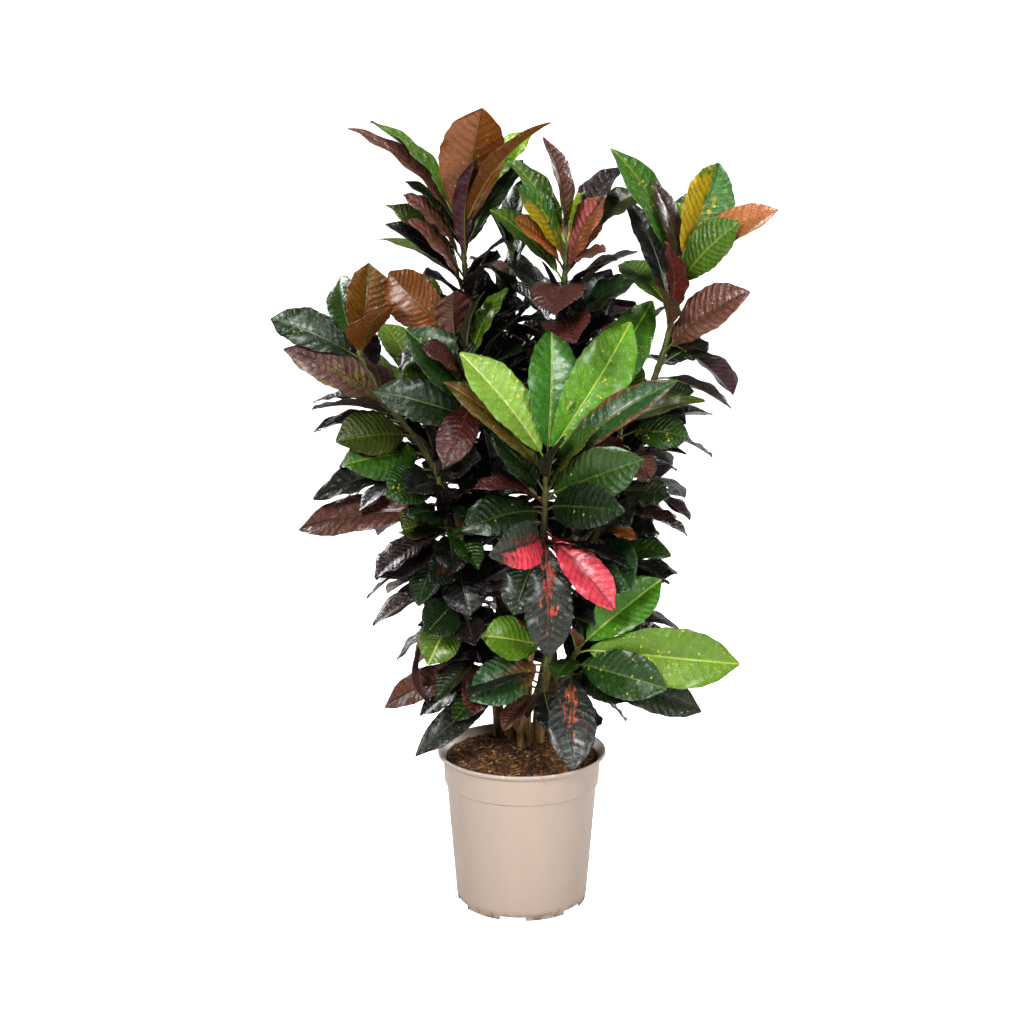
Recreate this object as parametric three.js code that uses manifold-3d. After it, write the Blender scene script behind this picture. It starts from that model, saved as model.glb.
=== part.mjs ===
// A potted croton: a plastic nursery pot filled with peat, five woody canes that stand in
// it, and sixteen leafy shoots that grow from the canes. Millimetres, +Z up. The origin is
// on the pot's axis, on the surface that the pot stands on. -Y is the front of the plant.
import * as THREE from "three";
import { mergeVertices } from "three/addons/utils/BufferGeometryUtils.js";
import Module from "manifold-3d";

const wasm = await Module();
wasm.setup();

// ---------------------------------------------------------------- driving dimensions
const FIT_GAP = 0.35; // air between two pieces that touch

const POT = {
  height: 222,
  rimRadius: 120, // outside of the thin lip
  bandRadius: 112, // outside of the thick band under the lip, at its top
  bandDepth: 45, // from the rim down to the step
  bodyRadius: 107, // outside of the wall just under the step
  footRadius: 93.5,
  footInset: 1.2, // the foot stands back from the wall by this
  footHeight: 7,
  lipDepth: 5,
  wall: 2.2,
  floorThickness: 2.5,
  sides: 24,
  drainHoles: 6,
  drainRadius: 6,
  drainCircle: 58,
  notches: 6, // gaps in the foot that let water out
  notchWidth: 38,
  firstNotch: -98, // degrees
};

const SOIL = {
  level: 214, // mean height of its top
  mound: 7, // how far it rises towards the canes
  roughness: 1.6,
  rings: 2,
};

const LEAF = {
  thickness: 0.8,
  petiole: 20, // the bare stalk between shoot and blade
  petioleHalfWidth: 1.5,
  stations: [0.2, 0.5, 0.8], // where a blade is sectioned, as shares of its length
  farStations: [0.28, 0.7], // the same for leaves that a rule places
  widest: 0.5, // share of the length where a blade is widest
  fullness: 1.2, // 1.5 gives a slender outline, 1 a full one
  arch: 0.11, // rise of the midrib over its chord, as a share of the length
};

const SHOOT = { rootRadius: 6.2, tipRadius: 3, sides: 5, step: 60 };

// A leaf is kept this far from a leaf of another shoot, of its own shoot, and from a stem.
const CLEARANCE = { other: 5.5, own: 2.0, stem: 4 };

// Places of the front shoots are those seen against the upright plane through the pot's
// axis, by an eye this far in front of it and this high.
const SIGHT = { distance: 2300, height: 1020 };

// ---------------------------------------------------------------- small helpers
const V = (x, y, z) => new THREE.Vector3(x, y, z);
const UP = V(0, 0, 1);
const radians = THREE.MathUtils.degToRad;

function seen(x, z, front) {
  const share = (SIGHT.distance - front) / SIGHT.distance;
  return V(x * share, -front, SIGHT.height + (z - SIGHT.height) * share);
}

// Repeatable draws between 0 and 1.
function drawsFrom(seed) {
  let state = seed;
  return () => {
    state = (state * 16807) % 2147483647;
    return state / 2147483647;
  };
}

function solidOf(geometry) {
  const bare = new THREE.BufferGeometry();
  bare.setAttribute("position", geometry.getAttribute("position"));
  if (geometry.index) bare.setIndex(geometry.index);
  const merged = mergeVertices(bare, 1e-3);
  const vertProperties = merged.attributes.position.array;
  const triVerts = new Uint32Array(merged.index.array);
  return new wasm.Manifold(new wasm.Mesh({ numProp: 3, vertProperties, triVerts }));
}

function geometryOf(solid) {
  const mesh = solid.getMesh();
  const geometry = new THREE.BufferGeometry();
  geometry.setAttribute("position", new THREE.BufferAttribute(mesh.vertProperties, 3));
  geometry.setIndex(new THREE.BufferAttribute(mesh.triVerts, 1));
  geometry.computeVertexNormals();
  return geometry;
}

// A closed skin over rings of points that all have the same number of points. A ring of
// one point closes the skin in a tip.
function skin(rings) {
  const points = rings.flat();
  const starts = [];
  let count = 0;
  for (const ring of rings) {
    starts.push(count);
    count += ring.length;
  }
  const faces = [];
  for (let r = 0; r + 1 < rings.length; r++) {
    const n = rings[r].length;
    for (let i = 0; i < n; i++) {
      const a = starts[r] + i;
      const b = starts[r] + ((i + 1) % n);
      if (rings[r + 1].length === 1) {
        faces.push(a, b, starts[r + 1]);
        continue;
      }
      const c = starts[r + 1] + i;
      const d = starts[r + 1] + ((i + 1) % n);
      faces.push(a, b, d, a, d, c);
    }
  }
  const cap = (start, n, flip) => {
    for (let i = 1; i + 1 < n; i++) {
      faces.push(...(flip ? [start, start + i + 1, start + i] : [start, start + i, start + i + 1]));
    }
  };
  cap(starts[0], rings[0].length, true);
  cap(starts.at(-1), rings.at(-1).length, false);
  const geometry = new THREE.BufferGeometry();
  geometry.setAttribute("position", new THREE.Float32BufferAttribute(points.flatMap((p) => p.toArray()), 3));
  geometry.setIndex(faces);
  return geometry;
}

// A round rod along a smooth curve, from one radius to another.
function rod(points, startRadius, endRadius, sides, step) {
  const curve = new THREE.CatmullRomCurve3(points);
  const steps = Math.max(2, Math.round(curve.getLength() / step));
  const frames = curve.computeFrenetFrames(steps, false);
  const rings = [];
  for (let i = 0; i <= steps; i++) {
    const centre = curve.getPointAt(i / steps);
    const radius = startRadius + ((endRadius - startRadius) * i) / steps;
    const ring = [];
    for (let k = 0; k < sides; k++) {
      const angle = (2 * Math.PI * k) / sides;
      const spoke = frames.normals[i].clone().multiplyScalar(Math.cos(angle) * radius);
      spoke.addScaledVector(frames.binormals[i], Math.sin(angle) * radius);
      ring.push(spoke.add(centre));
    }
    rings.push(ring);
  }
  return skin(rings);
}

// ---------------------------------------------------------------- pot
function pot() {
  const { height, footInset, footHeight, wall } = POT;
  const step = height - POT.bandDepth;
  const floorTop = footHeight + POT.floorThickness;
  const lip = height - POT.lipDepth;
  const bandFoot = POT.bandRadius - 2;
  const outline = [
    [0, footHeight],
    [POT.footRadius - footInset - wall, footHeight],
    [POT.footRadius - footInset - wall, 0],
    [POT.footRadius - footInset, 0],
    [POT.footRadius - footInset, footHeight],
    [POT.footRadius, footHeight + 0.6],
    [POT.bodyRadius, step - 1],
    [bandFoot, step],
    [POT.bandRadius, lip - 3],
    [POT.rimRadius - 1, lip],
    [POT.rimRadius, lip + 1.5],
    [POT.rimRadius - 0.6, height],
    [POT.rimRadius - 3.6, height],
    [innerRadius(lip - 6), lip - 6],
    [innerRadius(floorTop), floorTop],
    [0, floorTop],
  ];
  const points = outline.map(([r, z]) => new THREE.Vector2(r, z));
  const lathe = new THREE.LatheGeometry(points, POT.sides);
  let body = solidOf(lathe.rotateX(Math.PI / 2));
  for (let i = 0; i < POT.drainHoles; i++) {
    const angle = (2 * Math.PI * i) / POT.drainHoles;
    const hole = new THREE.CylinderGeometry(POT.drainRadius, POT.drainRadius, 12, 6);
    hole.rotateX(Math.PI / 2);
    hole.translate(POT.drainCircle * Math.cos(angle), POT.drainCircle * Math.sin(angle), footHeight + 1);
    body = body.subtract(solidOf(hole));
  }
  for (let i = 0; i < POT.notches; i++) {
    const notch = new THREE.BoxGeometry(20, POT.notchWidth, 2 * (footHeight - 1.5));
    notch.translate(POT.footRadius, 0, 0);
    notch.rotateZ(radians(POT.firstNotch + (360 * i) / POT.notches));
    body = body.subtract(solidOf(notch));
  }
  return geometryOf(body);
}

// Inside radius of the pot's wall at a height between its floor and its lip. The wall is
// one thickness at the step under the band, and thicker at the foot and in the band.
function innerRadius(z) {
  const low = POT.footHeight + POT.floorThickness;
  const high = POT.height - POT.bandDepth;
  const share = (z - low) / (high - low);
  return POT.footRadius - 2 * POT.wall + share * (POT.bodyRadius - POT.footRadius + POT.wall);
}

// ---------------------------------------------------------------- canes
// Each cane: its points from 80 mm under the peat up to its top, and its two radii.
const CANES = {
  cane_1: { points: [[4, 22, 134], [4, 18, 260], [10, -8, 390], [16, -28, 492]], radii: [9.8, 7.6] },
  cane_2: { points: [[23, 42, 134], [27, 40, 280], [56, 34, 430], [88, 24, 560]], radii: [9.2, 7.2] },
  cane_3: { points: [[-12, 52, 134], [-16, 50, 300], [-32, 44, 470], [-42, 38, 610]], radii: [8.6, 7.0] },
  cane_4: { points: [[42, 62, 134], [46, 70, 290], [34, 72, 450], [26, 66, 600]], radii: [8.8, 7.0] },
  cane_5: { points: [[-27, 72, 134], [-38, 74, 280], [-66, 62, 420], [-92, 44, 560]], radii: [8.2, 6.8] },
};

const caneCurve = (cane) => new THREE.CatmullRomCurve3(cane.points.map((p) => V(...p)));

function caneGeometry(cane, extra) {
  const points = cane.points.map((p) => V(...p));
  const grown = points.map((p) => p.clone());
  if (extra) {
    const below = points[0].clone().sub(points[1]).setLength(extra);
    const above = points.at(-1).clone().sub(points.at(-2)).setLength(extra);
    grown[0].add(below);
    grown[grown.length - 1].add(above);
  }
  return rod(grown, cane.radii[0] + extra, cane.radii[1] + extra, 6, 66);
}

// ---------------------------------------------------------------- soil
function soil(caneSpaces) {
  const base = POT.footHeight + POT.floorThickness + FIT_GAP;
  const edge = SOIL.level - 4;
  const draw = drawsFrom(71);
  const ringAt = (radius, z, rough) => {
    const ring = [];
    for (let k = 0; k < POT.sides; k++) {
      const angle = (2 * Math.PI * k) / POT.sides;
      const bump = rough ? (draw() - 0.5) * 2 * SOIL.roughness : 0;
      ring.push(V(radius * Math.cos(angle), radius * Math.sin(angle), z + bump));
    }
    return ring;
  };
  const wallRadius = (z) => innerRadius(z) - FIT_GAP - 0.3;
  const rings = [ringAt(wallRadius(base), base, false), ringAt(wallRadius(edge), edge, false)];
  for (let i = 1; i <= SOIL.rings; i++) {
    const share = 1 - i / (SOIL.rings + 0.5);
    const rise = SOIL.mound * (1 - share * share);
    rings.push(ringAt(wallRadius(edge) * share, SOIL.level - 3 + rise, true));
  }
  rings.push([V(0, 0, SOIL.level - 3 + SOIL.mound)]);
  let body = solidOf(skin(rings));
  for (const space of caneSpaces) body = body.subtract(space);
  return geometryOf(body);
}

// ---------------------------------------------------------------- leaves
// A leaf from its root on the shoot to its tip. "face" turns the blade about its length,
// in degrees: at 0 its upper side looks up, at 90 it looks to the front, and below 0 the
// underside shows in front.
function makeLeaf(root, tip, stemDirection, width, face, arch) {
  const reach = tip.clone().sub(root);
  const petiole = Math.min(LEAF.petiole, reach.length() * 0.2);
  const stalk = reach.clone().normalize().addScaledVector(stemDirection, 0.5);
  const base = root.clone().addScaledVector(stalk.normalize(), petiole);
  const along = tip.clone().sub(base);
  const length = along.length();
  along.normalize();
  const flat = UP.clone().addScaledVector(along, -UP.dot(along)).normalize();
  const side = along.clone().cross(flat);
  const turn = radians(face) * (side.y < 0 ? 1 : -1);
  const normal = flat.clone().multiplyScalar(Math.cos(turn)).addScaledVector(side, Math.sin(turn));
  const across = along.clone().cross(normal);
  return { root, base, tip, along, across, normal, length, half: width / 2, arch: arch * length };
}

// Half the blade's width at a share u of its length.
function halfWidth(leaf, u) {
  const { widest, fullness } = LEAF;
  const towardsBase = (u / widest) ** (fullness * widest);
  const towardsTip = ((1 - u) / (1 - widest)) ** (fullness * (1 - widest));
  return leaf.half * towardsBase * towardsTip;
}

// Height of the midrib above the chord at a share u of the length.
const rise = (leaf, u) => leaf.arch * 4 * u * (1 - u);

function bladePoint(leaf, u, y, lift) {
  return leaf.base
    .clone()
    .addScaledVector(leaf.along, u * leaf.length)
    .addScaledVector(leaf.across, y)
    .addScaledVector(leaf.normal, rise(leaf, u) + lift);
}

function leafSolid(leaf, stations) {
  const t = LEAF.thickness / 2;
  const plate = (half, at) => {
    const corners = [[-half, -t], [-half, t], [half, t], [half, -t]];
    const { across, normal } = leaf;
    return corners.map(([y, z]) => at.clone().addScaledVector(across, y).addScaledVector(normal, z));
  };
  const rings = [leaf.root, leaf.base].map((at) => plate(LEAF.petioleHalfWidth, at));
  for (const u of stations) rings.push(plate(halfWidth(leaf, u), bladePoint(leaf, u, 0, 0)));
  rings.push([leaf.tip]);
  return solidOf(skin(rings));
}

// ---------------------------------------------------------------- keeping leaves apart
const OTHER_SHOOT = 4; // what striking another shoot weighs, against striking its own
const PROBE_LENGTHS = [0.06, 0.18, 0.3, 0.42, 0.54, 0.66, 0.78, 0.9, 1];
const PROBE_WIDTHS = [-1, -0.5, 0, 0.5, 1];

// Leaves of one shoot may cross where they crowd round its stem: their stalks and this
// share of their blades.
const BASE_SHARE = 0.2;
const BASE_PROBES = 12;

// The first of these points are on the stalk and the narrow base of the blade.
function probes(leaf) {
  const points = [leaf.root.clone().lerp(leaf.base, 0.6), leaf.base.clone()];
  for (const u of PROBE_LENGTHS) {
    const half = halfWidth(leaf, Math.min(u, 0.999));
    for (const share of PROBE_WIDTHS) points.push(bladePoint(leaf, u, share * half, 0));
  }
  return points;
}

// Heights of points above a blade, for those that lie over or under it past a share of
// its length.
function heightsOver(leaf, points, margin, past = 0.01) {
  const heights = [];
  for (const point of points) {
    const x = point.x - leaf.base.x;
    const y = point.y - leaf.base.y;
    const z = point.z - leaf.base.z;
    const u = (x * leaf.along.x + y * leaf.along.y + z * leaf.along.z) / leaf.length;
    if (u <= past || u >= 1) continue;
    const off = x * leaf.across.x + y * leaf.across.y + z * leaf.across.z;
    if (Math.abs(off) > halfWidth(leaf, u) + margin) continue;
    heights.push(x * leaf.normal.x + y * leaf.normal.y + z * leaf.normal.z - rise(leaf, u));
  }
  return heights;
}

const strikes = (heights, clearance) =>
  heights.length > 0 && Math.min(...heights) < clearance && Math.max(...heights) > -clearance;

function crowding(leaf, shoot, placed, stems) {
  const mine = probes(leaf);
  let count = 0;
  for (const other of placed) {
    const near = leaf.tip.distanceTo(other.leaf.base) + leaf.base.distanceTo(other.leaf.tip);
    if (near > 2.2 * (leaf.length + other.leaf.length)) continue;
    if (other.shoot === shoot) {
      const hit =
        strikes(heightsOver(other.leaf, mine.slice(BASE_PROBES), 0, BASE_SHARE), CLEARANCE.own) ||
        strikes(heightsOver(leaf, other.points.slice(BASE_PROBES), 0, BASE_SHARE), CLEARANCE.own);
      if (hit) count += 1;
    } else {
      const hit =
        strikes(heightsOver(other.leaf, mine, 3), CLEARANCE.other) ||
        strikes(heightsOver(leaf, other.points, 3), CLEARANCE.other);
      if (hit) count += OTHER_SHOOT;
    }
  }
  for (const stem of stems) {
    if (stem.shoot === shoot) continue;
    for (const point of stem.points) {
      const room = stem.radius + CLEARANCE.stem;
      const over = heightsOver(leaf, [point], room);
      if (over.length && Math.abs(over[0]) < room) {
        count += OTHER_SHOOT;
        break;
      }
    }
  }
  return count;
}

// The turns tried for a leaf that would strike another: [lift, swing, twist, size], with
// the angles in degrees. It is twisted about its own length first, then turned in growing
// circles round its own direction, then made a size less.
function turnsToTry() {
  const turns = [];
  for (const size of [1, 0.85, 0.7]) {
    for (const twist of [0, 15, -15, 30, -30]) turns.push([0, 0, twist, size]);
    for (let ring = 1; ring <= 4; ring++) {
      for (const twist of [0, 20, -20]) {
        for (let k = 0; k < 8; k++) {
          const angle = (Math.PI * k) / 4;
          turns.push([7 * ring * Math.cos(angle), 7 * ring * Math.sin(angle), twist, size]);
        }
      }
    }
  }
  return turns;
}

// ---------------------------------------------------------------- shoots
// Leaves seen from the front, root to tip. Each row: height of the root on the shoot,
// x and height of the tip, how far in front of the axis the tip is, the blade's width and
// its face.
const SHOOTS = {
  shoot_front: {
    seat: ["cane_1", 0.99],
    stem: [[29, 530, 48], [32, 585, 62], [35, 638, 68]],
    leaves: [
      [632, -85, 787, 60, 62, 55], [612, -98, 752, 95, 50, 25], [636, 40, 822, 35, 66, 5],
      [636, 148, 829, 20, 76, 75], [628, 228, 768, 60, 52, 22], [610, 213, 750, 90, 50, 35],
      [637, 203, 852, -40, 66, 60], [585, 105, 685, 110, 50, 28], [600, 58, 668, 130, 50, 40],
      [590, -42, 675, 90, 78, 80], [575, -52, 605, 165, 40, 20], [560, -83, 540, 170, 62, 45],
      [545, -40, 532, 40, 50, 30], [520, -45, 503, 228, 60, 60], [530, 38, 355, 105, 64, 0],
      [525, 130, 425, 110, 52, 40], [580, 168, 640, 140, 68, 70], [565, 142, 567, 175, 60, 55],
      [540, 66, 470, 60, 45, 20], [505, -12, 418, 90, 58, 0], [570, -45, 640, 40, 60, 30],
      [610, 95, 560, 20, 60, 10],
    ],
    rear: { count: 0 },
  },
  shoot_crown: {
    seat: ["cane_3", 0.99],
    stem: [[-58, 720, -35], [-74, 860, -25], [-82, 962, -20]],
    leaves: [
      [940, -54, 1112, 40, 84, -15], [950, -232, 1086, -20, 60, 15], [955, -202, 1094, -60, 60, 15],
      [958, -112, 1075, -95, 55, 60], [930, -156, 1016, -10, 50, 20], [885, -182, 985, 15, 60, 35],
      [870, -183, 960, 45, 55, 40], [905, -160, 998, 30, 60, 40], [850, -153, 965, 65, 60, 50],
      [835, -133, 893, 75, 50, 30], [955, 12, 1106, -30, 42, 28], [950, 47, 1112, 5, 54, 12],
      [960, -42, 1095, -85, 60, 60], [900, -50, 1038, 50, 36, 20], [920, 0, 1045, -60, 60, 25],
      [860, -22, 938, 75, 50, 35], [850, -48, 917, 95, 50, 40], [780, -10, 850, 30, 60, 30],
      [740, 0, 790, 50, 60, 30], [760, -150, 860, -60, 60, 45], [720, -130, 700, 40, 60, 20],
    ],
    rear: { count: 6, from: 0.45, to: 0.97, aim: 100, spread: 170, length: 150, width: 60 },
  },
  shoot_middle: {
    seat: ["cane_4", 0.99],
    stem: [[42, 740, -30], [55, 860, -10], [60, 935, -5]],
    leaves: [
      [885, 112, 998, 20, 62, 55], [905, -8, 1010, 30, 60, 55], [895, 0, 968, 70, 50, 35],
      [935, 28, 1074, -10, 50, 18], [930, -10, 1050, -40, 50, 20], [935, 76, 1005, -10, 50, 30],
      [880, -43, 979, 0, 50, 25], [870, 42, 838, 165, 70, 0], [930, 163, 1003, -40, 55, 28],
      [890, 110, 945, 60, 40, 30], [850, 155, 923, 40, 55, 14], [860, 128, 912, 70, 50, 25],
      [800, 155, 884, 70, 60, 45], [780, 140, 870, 20, 50, 30], [820, 72, 802, 170, 62, 0],
      [760, -15, 790, 50, 60, 20], [830, -20, 905, 60, 55, 50], [720, 10, 650, 70, 60, 10],
      [740, 115, 760, 30, 60, 30], [700, 105, 690, 40, 60, 20],
    ],
    rear: { count: 6, from: 0.4, to: 0.97, aim: 70, spread: 150, length: 150, width: 60 },
  },
  shoot_right: {
    seat: ["cane_2", 0.99],
    stem: [[160, 700, -10], [198, 810, 0], [212, 905, 5]],
    leaves: [
      [895, 118, 1060, -10, 60, 35], [880, 158, 1008, 35, 50, 18], [905, 190, 990, -60, 50, 25],
      [900, 262, 1040, -25, 70, 50], [900, 330, 996, 5, 55, 28], [870, 300, 960, 40, 65, 70],
      [830, 140, 998, -40, 45, 12], [825, 193, 937, 70, 50, 50], [812, 180, 880, 95, 45, 45],
      [785, 307, 870, 60, 68, 60], [765, 253, 802, -30, 50, 35], [705, 235, 734, 20, 50, 28],
      [690, 225, 690, 30, 50, 22],
    ],
    rear: { count: 5, from: 0.35, to: 0.97, aim: 80, spread: 130, length: 140, width: 60 },
  },
  shoot_left: {
    seat: ["cane_5", 0.99],
    stem: [[-140, 660, -20], [-185, 720, -10], [-224, 788, 0]],
    leaves: [
      [775, -342, 833, -10, 60, 50], [780, -207, 908, -15, 68, 75], [778, -180, 848, 110, 72, 20],
      [785, -245, 891, -90, 50, 50], [705, -325, 792, 25, 65, 65], [720, -212, 775, 100, 50, 30],
      [690, -287, 678, -10, 55, 8], [668, -256, 665, 50, 70, 50], [640, -246, 632, 60, 72, 70],
      [620, -290, 583, 5, 55, 30],
    ],
    rear: { count: 5, from: 0.3, to: 0.97, aim: 75, spread: 110, length: 140, width: 62 },
  },
  shoot_inner: {
    seat: ["cane_3", 0.85],
    stem: [[-46, 680, 15], [-75, 765, 30], [-100, 815, 35]],
    leaves: [
      [800, -187, 891, 30, 68, 70], [700, -157, 812, 80, 72, 70], [795, -92, 870, 70, 50, 25],
      [770, -52, 870, 60, 50, 60], [760, -20, 875, 20, 40, 25], [740, -115, 803, 100, 50, 25],
      [808, -150, 893, -40, 45, 40], [800, -185, 855, -30, 50, 40], [680, -195, 755, 90, 60, 50],
      [720, -108, 628, 115, 50, 10], [690, -5, 700, 60, 60, 20],
    ],
    rear: { count: 0 },
  },
  shoot_low_left: {
    seat: ["cane_5", 0.6],
    stem: [[-85, 490, -10], [-110, 570, 20], [-118, 640, 25]],
    leaves: [
      [560, -311, 540, -30, 58, 50], [612, -188, 585, 110, 60, 50], [600, -160, 593, 130, 50, 35],
      [575, -167, 541, 70, 40, 20], [555, -165, 552, 100, 50, 40], [540, -168, 535, 20, 50, 30],
      [520, -200, 472, 50, 62, 65], [500, -128, 462, 90, 45, 45], [545, -60, 484, 100, 40, 10],
      [530, -95, 478, 110, 50, 0], [615, -70, 665, 100, 60, 60], [638, -60, 735, 60, 50, 50],
      [580, -45, 560, 60, 60, 20], [560, -50, 610, 70, 60, 30], [500, -75, 415, 60, 60, 10],
    ],
    rear: { count: 5, from: 0.3, to: 0.95, aim: 95, spread: 100, length: 140, width: 60 },
  },
  shoot_low_right: {
    seat: ["cane_2", 0.31],
    stem: [[56, 312, 0], [70, 350, 28], [82, 376, 42]],
    leaves: [
      [372, 195, 470, 20, 64, 60], [366, 308, 347, 40, 80, 75], [345, 205, 310, 90, 66, 60],
      [330, 256, 277, 0, 58, 60], [320, 153, 292, 60, 50, 35], [310, 148, 262, -50, 50, 20],
      [300, 107, 254, -40, 50, 10], [338, 73, 188, 135, 64, 0], [368, 60, 405, 90, 40, 40],
      [355, 50, 326, 100, 42, 0], [374, 85, 415, 0, 35, 30],
    ],
    rear: { count: 3, from: 0.3, to: 0.9, aim: 60, spread: 100, length: 130, width: 56 },
  },
  shoot_bottom_left: {
    seat: ["cane_3", 0.35],
    stem: [[-45, 350, 0], [-70, 400, 15], [-92, 442, 25]],
    leaves: [
      [440, -128, 282, 25, 60, 5, 0.25], [335, -196, 283, -30, 50, 15],
      [430, -133, 345, 75, 55, 45], [375, -123, 352, 60, 50, 25], [355, -122, 290, 60, 40, 5],
      [320, -145, 270, 0, 45, 25], [305, -152, 210, 90, 42, 45], [345, -72, 270, 115, 45, 0],
      [310, -99, 249, 60, 45, 20], [435, -105, 421, 115, 55, 45], [440, -115, 408, -20, 45, 5],
      [410, -66, 386, 110, 40, 5], [400, -15, 350, 30, 55, 10], [380, -150, 395, 20, 55, 30],
    ],
    rear: { count: 3, from: 0.3, to: 0.95, aim: 110, spread: 110, length: 130, width: 56 },
  },
  shoot_bottom_front: {
    seat: ["cane_1", 0.35],
    stem: [[24, 310, 14], [34, 350, 34], [41, 388, 42]],
    leaves: [
      [345, -85, 290, 80, 64, 70], [365, -57, 388, 80, 62, 60], [382, -15, 425, 60, 50, 35],
      [305, -65, 282, 40, 45, 25], [300, -27, 248, 70, 35, 5], [310, 45, 245, 70, 40, 10],
    ],
    rear: { count: 0 },
  },
  shoot_side_right: {
    seat: ["cane_2", 0.72],
    stem: [[96, 520, 10], [124, 600, 32], [136, 672, 38]],
    leaves: [
      [672, 230, 670, 60, 60, 40], [662, 178, 608, 40, 50, 40], [630, 213, 624, -30, 40, 15],
      [590, 205, 588, 50, 50, 38], [572, 150, 548, 80, 50, 40], [540, 160, 528, 60, 22, 40],
      [535, 192, 536, -10, 50, 28], [500, 208, 505, 40, 55, 42], [525, 152, 452, 90, 78, 60],
      [680, 112, 640, 70, 40, 10], [650, 60, 610, 20, 55, 20], [530, 95, 430, 30, 60, 10],
      [600, 60, 500, 0, 60, 20],
    ],
    rear: { count: 5, from: 0.25, to: 0.95, aim: 60, spread: 110, length: 130, width: 58 },
  },
};

// Shoots on the far side, whose leaves stand round them by a rule.
const REAR_SHOOTS = {
  rear_top: {
    seat: ["cane_4", 0.9],
    path: [[-12, 76, 700], [-16, 80, 830], [-14, 80, 920]],
    rule: { count: 12, aim: 90, spread: 300 },
  },
  rear_left: {
    seat: ["cane_5", 0.78],
    path: [[-108, 76, 560], [-134, 80, 660], [-146, 82, 740]],
    rule: { count: 11, aim: 110, spread: 230 },
  },
  rear_right: {
    seat: ["cane_4", 0.62],
    path: [[80, 86, 560], [112, 90, 660], [124, 90, 750]],
    rule: { count: 11, aim: 70, spread: 230 },
  },
  rear_low: {
    seat: ["cane_5", 0.35],
    path: [[-34, 78, 390], [-28, 80, 470], [-26, 78, 550]],
    rule: { count: 10, aim: 90, spread: 240 },
  },
  rear_low_right: {
    seat: ["cane_4", 0.33],
    path: [[78, 88, 350], [98, 94, 420], [106, 94, 480]],
    rule: { count: 9, aim: 60, spread: 200 },
  },
};

const GOLDEN = 0.618034;

// Leaves of a rule: they climb the stem, spread by the golden share round the aim, and
// stand steeper towards the shoot's top.
function ruledLeaves(curve, rule, seed) {
  const draw = drawsFrom(seed);
  const rows = [];
  for (let i = 0; i < rule.count; i++) {
    const climb = rule.count > 1 ? i / (rule.count - 1) : 0;
    const at = rule.from + (rule.to - rule.from) * climb;
    const turn = ((i * GOLDEN) % 1) - 0.5;
    const azimuth = radians(rule.aim + turn * rule.spread);
    const slope = radians(-8 + 70 * climb * climb + 16 * (draw() - 0.5));
    const length = rule.length * (0.88 + 0.18 * draw());
    const width = rule.width * (0.85 + 0.3 * draw());
    const face = 24 * (draw() - 0.5);
    const root = curve.getPointAt(at);
    const reach = V(Math.cos(azimuth), Math.sin(azimuth), 0).multiplyScalar(Math.cos(slope));
    reach.z = Math.sin(slope);
    rows.push({ root, tip: root.clone().addScaledVector(reach, length), at, width, face });
  }
  return rows;
}

// The share along a stem where it reaches a height.
function shareAtHeight(curve, height) {
  let low = 0;
  let high = 1;
  for (let i = 0; i < 20; i++) {
    const middle = (low + high) / 2;
    if (curve.getPointAt(middle).z < height) low = middle;
    else high = middle;
  }
  return low;
}

// A shoot's stem starts on the axis of the cane that bears it, at a share of its length.
function stemCurve(shoot) {
  const [cane, share] = shoot.seat;
  const start = caneCurve(CANES[cane]).getPointAt(share);
  const rest = shoot.path ? shoot.path.map((p) => V(...p)) : shoot.stem.map((p) => seen(...p));
  return new THREE.CatmullRomCurve3([start, ...rest]);
}

function wantedLeaves(shoot, curve, seed) {
  const wanted = [];
  for (const [height, tipX, tipZ, front, width, face, arch] of shoot.leaves ?? []) {
    const share = (SIGHT.distance + curve.getPointAt(0.7).y) / SIGHT.distance;
    const at = shareAtHeight(curve, SIGHT.height + (height - SIGHT.height) * share);
    wanted.push({ root: curve.getPointAt(at), tip: seen(tipX, tipZ, front), at, width, face, arch });
  }
  const rule = shoot.rear ?? { ...shoot.rule, from: 0.3, to: 0.98, length: 140, width: 62 };
  return [wanted, ruledLeaves(curve, rule, seed)];
}

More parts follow.
